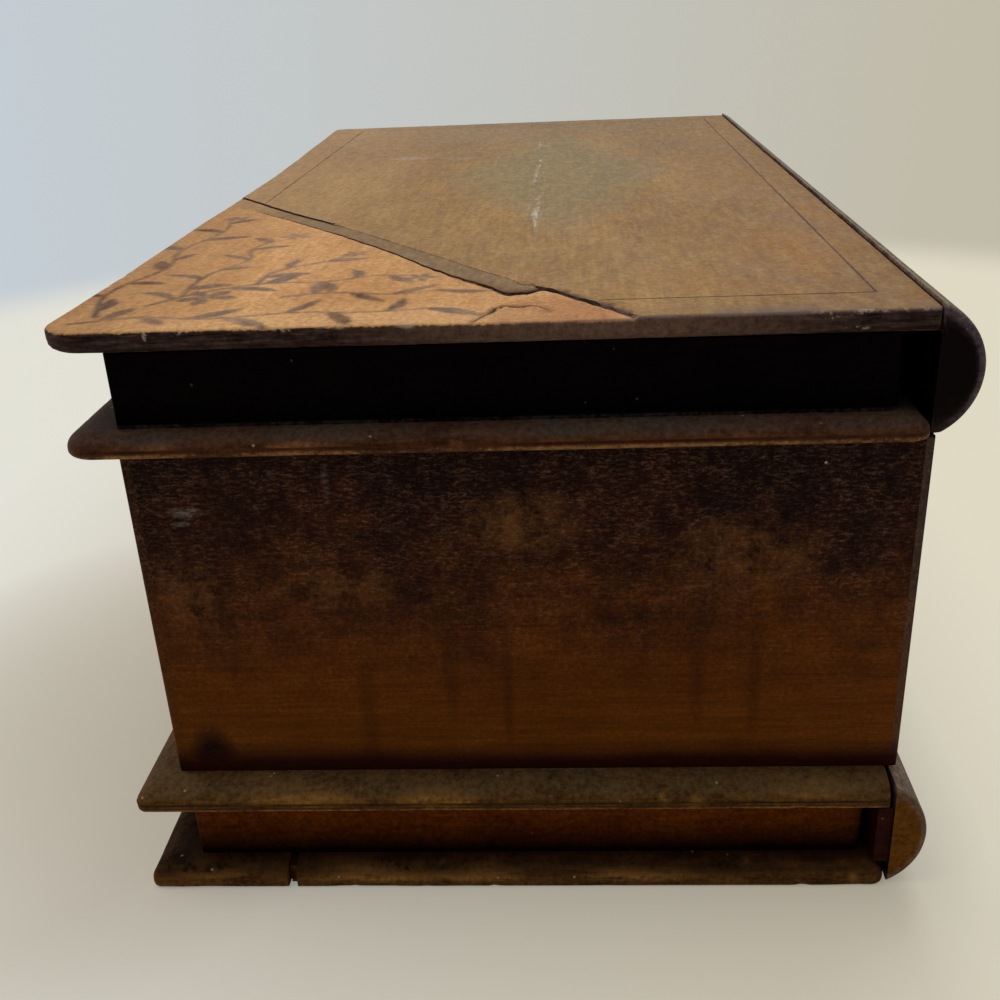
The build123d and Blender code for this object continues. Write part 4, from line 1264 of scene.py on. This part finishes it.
def hinge_recesses(below):
    """Cutters for the hinge barrels and leaves, where they are let into a piece above the rim."""
    half_length, end_play = 12.0, 0.3
    barrel_x, barrel_radius = 76.4, 1.75
    leaf_front, leaf_back, leaf_thick = 71.2, 80.0, 0.8
    bottom = RIM - 1.0 if below else RIM - leaf_thick
    tools = []
    for centre in HINGE_CENTRES:
        y0, y1 = centre - half_length, centre + half_length
        tools.append(round_bar("barrel", barrel_x, RIM, barrel_radius, y0 - end_play, y1 + end_play))
        tools.append(block("leaf", leaf_front, leaf_back, y0, y1, bottom, RIM + leaf_thick))
    return tools


class VANITY_OT_lid_lower_board(bpy.types.Operator):
    """Makes the lid's lower board, with its mirror window and hinge mortises"""

    bl_idname = "vanity.lid_lower_board"
    bl_label = "Lid Lower Board"

    def execute(self, context):
        plan = {"box": (-79.8, 75.1, LEDGE_END, -LEDGE_END), "corners": (6.5, 3.8, 3.8, 3.8),
                "round_front": True, "round_back": True, "step": 1.1}
        points, faces, exposure = moulded_board(
            plan, z0=RIM, z1=98.6, top_round=3.0, bottom_round=0.9, spread=1.45)
        piece = new_piece("lid_lower_board_worn", points, faces, {"arris": exposure})
        # the pale line low on the rounded underside edge, at 94.8 mm, is a painted highlight
        wood = stained_wood(
            "stained softwood, dusty ledge", dark="#2f160c", mid="#4d2815", rub="#7d5230", dust_and_shade="#433d36",
            rubbed=0.45, dust_and_shade_amount=0.95, lines=[(95.8, 0.4, "#2e130a"), (94.8, 0.6, "#9a7347")],
            bright=[((-62, LEDGE_END, 96.6), (4, 9, 1.5)), ((-37, LEDGE_END, 96.2), (6, 9, 1.6))])
        worn(piece, wood, step=1)
        # the mirror's window: a bevel below, a straight side, and the rabbet that the glass lies in
        x0, x1, y0, y1 = -47.8, 47.2, -124.5, 124.5
        loops = []
        for height, out in ((-0.5, 1.7), (0.0, 1.2), (1.2, 0.0), (2.1, 0.0), (2.1, 5.0), (6.0, 5.0)):
            plan = ((x0 - out, y0 - out), (x1 + out, y0 - out), (x1 + out, y1 + out), (x0 - out, y1 + out))
            loops.append([(x, y, RIM + height) for x, y in plan])
        cut(piece, [cutter("window", loops)] + hinge_recesses(True))
        place(piece, "lid", "dark_wood", "lid_lower_board")
        return {"FINISHED"}


class VANITY_OT_base_boards(bpy.types.Operator):
    """Makes the base book's upper board and the two planks of its bottom board"""

    bl_idname = "vanity.base_boards"
    bl_label = "Base Boards"

    def execute(self, context):
        # the pale line at 19.1 mm, on the lower round, is a painted highlight
        ledge = stained_wood(
            "stained softwood, rubbed golden", dark="#321c0b", mid="#624019", rub="#a07434", dust_and_shade="#584a33",
            rubbed=0.22, dust_and_shade_amount=0.8,
            bright=[((-43, BASE_END, 21.8), (14, 12, 2.2)), ((-16, BASE_END, 21.6), (9, 12, 2.2)),
                    ((59, BASE_END, 22.8), (11, 12, 1.5))],
            lines=[(20.6, 0.32, "#1c0f07"), (19.85, 0.16, "#2a170b"), (19.1, 0.4, "#9a7346")])
        plan = {"box": (-77.8, 73.7, BASE_END, -BASE_END), "corners": (2.2, 0.3, 0.3, 2.2),
                "round_front": True, "round_back": False, "step": 1.1}
        points, faces, exposure = moulded_board(
            plan, z0=18.5, z1=24.1, top_round=3.5, bottom_round=1.2, quirk=20.6, spread=1.6)
        floor_piece = new_piece("base_upper_board", points, faces, {"arris": exposure})
        worn(floor_piece, ledge, step=2)
        place(floor_piece, "case", "dark_wood", "case_floor_board")
        # the foot planks: the near-black given as their dust is painted shade that the page block casts on
        # their tops
        foot = stained_wood(
            "stained softwood, scuffed foot", dark="#2a1407", mid="#523012", rub="#a0733a", dust_and_shade="#0c0603",
            rubbed=0.35, dust_and_shade_amount=0.95, dust_and_shade_from=0.85,
            bright=[((-30, FOOT_END, 3.0), (16, 12, 2)), ((-8, FOOT_END, 3.0), (10, 12, 2)),
                    ((24, FOOT_END, 2.8), (14, 12, 1.6)), ((-64, FOOT_END, 3.4), (9, 12, 1.0))],
            lines=[(0.5, 0.3, "#80664f")])
        for name, x0, x1, corners, front, back, node in (
                ("bottom_plank_front", -77.4, -48.2, (2.2, 0.3, 0.3, 2.2), True, False, "bottom_front_plank"),
                ("bottom_plank_rear", -46.4, 74.2, (0.3, 3.0, 3.0, 0.3), False, True, "bottom_rear_plank")):
            plan = {"box": (x0, x1, FOOT_END, -FOOT_END), "corners": corners, "round_front": front,
                    "round_back": back, "step": 1.1}
            points, faces, exposure = moulded_board(
                plan, z0=0.0, z1=5.2, top_round=3.6, bottom_round=0.8, spread=1.3)
            if not front:
                # what is left of the tongue stands in the open joint
                first = len(points)
                points += [(x, y, z) for z in (0.05, 4.5) for x, y in (
                    (-47.9, -161.6), (-46.35, -161.6), (-46.35, 161.6), (-47.9, 161.6))]
                faces += [tuple(first + i for i in face) for face in (
                    (3, 2, 1, 0), (4, 5, 6, 7), (0, 1, 5, 4), (1, 2, 6, 5), (2, 3, 7, 6), (3, 0, 4, 7))]
                exposure += [0.0] * 8
            piece = new_piece(name, points, faces, {"arris": exposure})
            worn(piece, foot, step=3 if front else 4)
            place(piece, "case", "dark_wood", node)
        return {"FINISHED"}


class VANITY_OT_spines(bpy.types.Operator):
    """Makes the half-round spines of both books"""

    bl_idname = "vanity.spines"
    bl_label = "Spines"

    def execute(self, context):
        # its grey-violet rubbed arrises are partly wear and dust and partly a painted highlight
        # the lid spine: its near-black end face is dark end grain deepened by painted shade, and its hidden
        # side and lower round are painted shade
        wood = stained_wood(
            "stained softwood moulding, dark", dark="#2a1613", mid="#46302c", rub="#6f6068", dust_and_shade="#8d7f6a",
            ends="#0d0302", painted_shade_side=(112.6, "#030101"), foot=(92.5, 102, "#1c0f0a"), rubbed=0.95,
            dust_and_shade_from=0.9, lines=[(117.5, 0.5, "#8a7b66")])
        # the base spine: its fore-edge side below the page strip is painted shade
        dusty = stained_wood(
            "stained softwood moulding, dusty", dark="#4a392d", mid="#745c4b", rub="#846e5c", dust_and_shade="#8a7462",
            ends="#74470a", painted_shade_side=(18.6, "#140703"), rubbed=0.95, dust_and_shade_amount=0.9)
        points, faces, exposure = spine_mesh(
            axis=(70.8, 105.6), flat=75.4, foot=94.6, radius=13.0, y0=LID_END, y1=-LID_END, end_round=1.1)
        piece = new_piece("lid_spine_moulding", points, faces, {"arris": exposure})
        worn(piece, wood, strength=0.8, step=5)
        cut(piece, hinge_recesses(False))
        place(piece, "lid", "dark_wood", "lid_spine")
        points, faces, exposure = spine_mesh(
            axis=(68.3, 11.95), flat=74.7, foot=None, radius=13.4, y0=BASE_END, y1=-BASE_END, end_round=1.1)
        piece = new_piece("base_spine_moulding", points, faces, {"arris": exposure})
        worn(piece, dusty, strength=0.8, step=6)
        place(piece, "case", "dark_wood", "base_spine")
        red = stained_wood("stained backing strip", dark="#2a0a05", mid="#401408", rub="#401408")
        dress(["base_spine_backing"], red)
        return {"FINISHED"}


class VANITY_OT_pages(bpy.types.Operator):
    """Finishes the page strips of both books"""

    bl_idname = "vanity.pages"
    bl_label = "Page Strips"

    def execute(self, context):
        # the lid's strip is near-black from ebonising and from painted shade under the top board, and both
        # strips darken towards their foot as painted shade
        black = stained_wood("ebonised page strip with painted shade", dark="#050202", mid="#0d0607", rub="#1d1416", mote=0.1,
                             shine=0.015, foot=(98.6, 105, "#020101"), lines=[(98.8, 0.6, "#35302c")])
        brown = stained_wood("stained page strip", dark="#5a2604", mid="#743a09", rub="#743a09", mote=0.2,
                             shine=0.03, foot=(6, 15, "#0d0302"))
        dress([f"lid_page_{side}" for side in ("front", "back", "near", "far")], black)
        dress([f"base_page_{side}" for side in ("front", "back", "near", "far")], brown)
        return {"FINISHED"}


class VANITY_OT_case(bpy.types.Operator):
    """Finishes the case's four boards"""

    bl_idname = "vanity.case"
    bl_label = "Case"

    def execute(self, context):
        ends = case_wood("stained case wood, grain across", "X")
        dress(["case_near_end_board", "case_far_end_board"], ends)
        dress(["case_front_board"], case_wood("stained case wood, grain along", "Y", ends=(0.3, "#4a2f18")))
        # the back board's pale grey-violet end is dust and a painted highlight from the light on the spine
        # side
        dress(["case_back_board"], case_wood("stained case wood, dusty lip with painted highlight", "Y", ends=(0.6, "#5b4a42")))
        return {"FINISHED"}


class VANITY_OT_lining(bpy.types.Operator):
    """Finishes the paper lining"""

    bl_idname = "vanity.lining"
    bl_label = "Lining"

    def execute(self, context):
        dress(["floor_lining", "wall_lining"], lining_paper())
        return {"FINISHED"}


class VANITY_OT_hinges(bpy.types.Operator):
    """Finishes the butt hinges and makes their slotted screws"""

    bl_idname = "vanity.hinges"
    bl_label = "Hinges"

    def execute(self, context):
        metal, dull = brass(), dull_steel()
        dress([f"{side}_hinge_{part}_leaf" for side in ("near", "far") for part in ("case", "lid")], metal)
        dress(["near_hinge_pin", "far_hinge_pin"], dull)
        sizes = context.scene.vanity_brass
        tree = screw_tree()
        screw_x = 73.3
        for body, length, over, step in (("case", 7.0, 0.0, 0), ("lid", 3.2, math.pi, 1)):
            spots = [(screw_x, centre + along_leaf, RIM)
                     for centre in HINGE_CENTRES for along_leaf in (-8.5, 0.0, 8.5)]
            piece = new_piece(f"{body}_leaf_screws", spots, [])
            run_tree(piece, tree, Head_Radius=sizes.head_radius, Shank_Radius=0.7 * MM,
                     Head_Depth=0.6 * MM, Length=length * MM, Slot_Width=sizes.slot_width,
                     Slot_Depth=sizes.slot_depth, Tip_Over=over, Seed=3 + step, Metal=metal)
            place(piece, body, "brass", f"{body}_hinge_screws")
        return {"FINISHED"}


class VANITY_OT_mirror(bpy.types.Operator):
    """Finishes the mirror, its backing board and the brads that hold it"""

    bl_idname = "vanity.mirror"
    bl_label = "Mirror"

    def execute(self, context):
        dress(["mirror_glass"], silvered_glass())
        dress(["mirror_backing"], raw_board())
        dress(["mirror_sprigs"], dull_steel())
        return {"FINISHED"}


class VANITY_PT_panel(bpy.types.Panel):
    """The pieces of the vanity box, in the order they are made"""

    bl_idname = "VANITY_PT_panel"
    bl_label = "Vanity Box"
    bl_space_type = "VIEW_3D"
    bl_region_type = "UI"
    bl_category = "Vanity Box"

    def draw(self, context):
        for piece in PIECES:
            self.layout.operator(piece.bl_idname)


PIECES = (VANITY_OT_stage, VANITY_OT_top_board, VANITY_OT_lid_lower_board, VANITY_OT_base_boards,
          VANITY_OT_spines, VANITY_OT_pages, VANITY_OT_case, VANITY_OT_lining, VANITY_OT_hinges,
          VANITY_OT_mirror)
SETTINGS = {"vanity_stage": StageSettings, "vanity_wear": WearSettings, "vanity_spray": SpraySettings,
            "vanity_brass": BrassSettings}


def register():
    for name, group in SETTINGS.items():
        bpy.utils.register_class(group)
        setattr(bpy.types.Scene, name, bpy.props.PointerProperty(type=group))
    for piece in PIECES:
        bpy.utils.register_class(piece)
    bpy.utils.register_class(VANITY_PT_panel)


def unregister():
    bpy.utils.unregister_class(VANITY_PT_panel)
    for piece in reversed(PIECES):
        bpy.utils.unregister_class(piece)
    for name, group in SETTINGS.items():
        delattr(bpy.types.Scene, name)
        bpy.utils.unregister_class(group)


def main():
    """Makes every piece in order."""
    register()
    for piece in PIECES:
        family, action = piece.bl_idname.split(".")
        getattr(getattr(bpy.ops, family), action)()


if __name__ == "__main__":
    main()
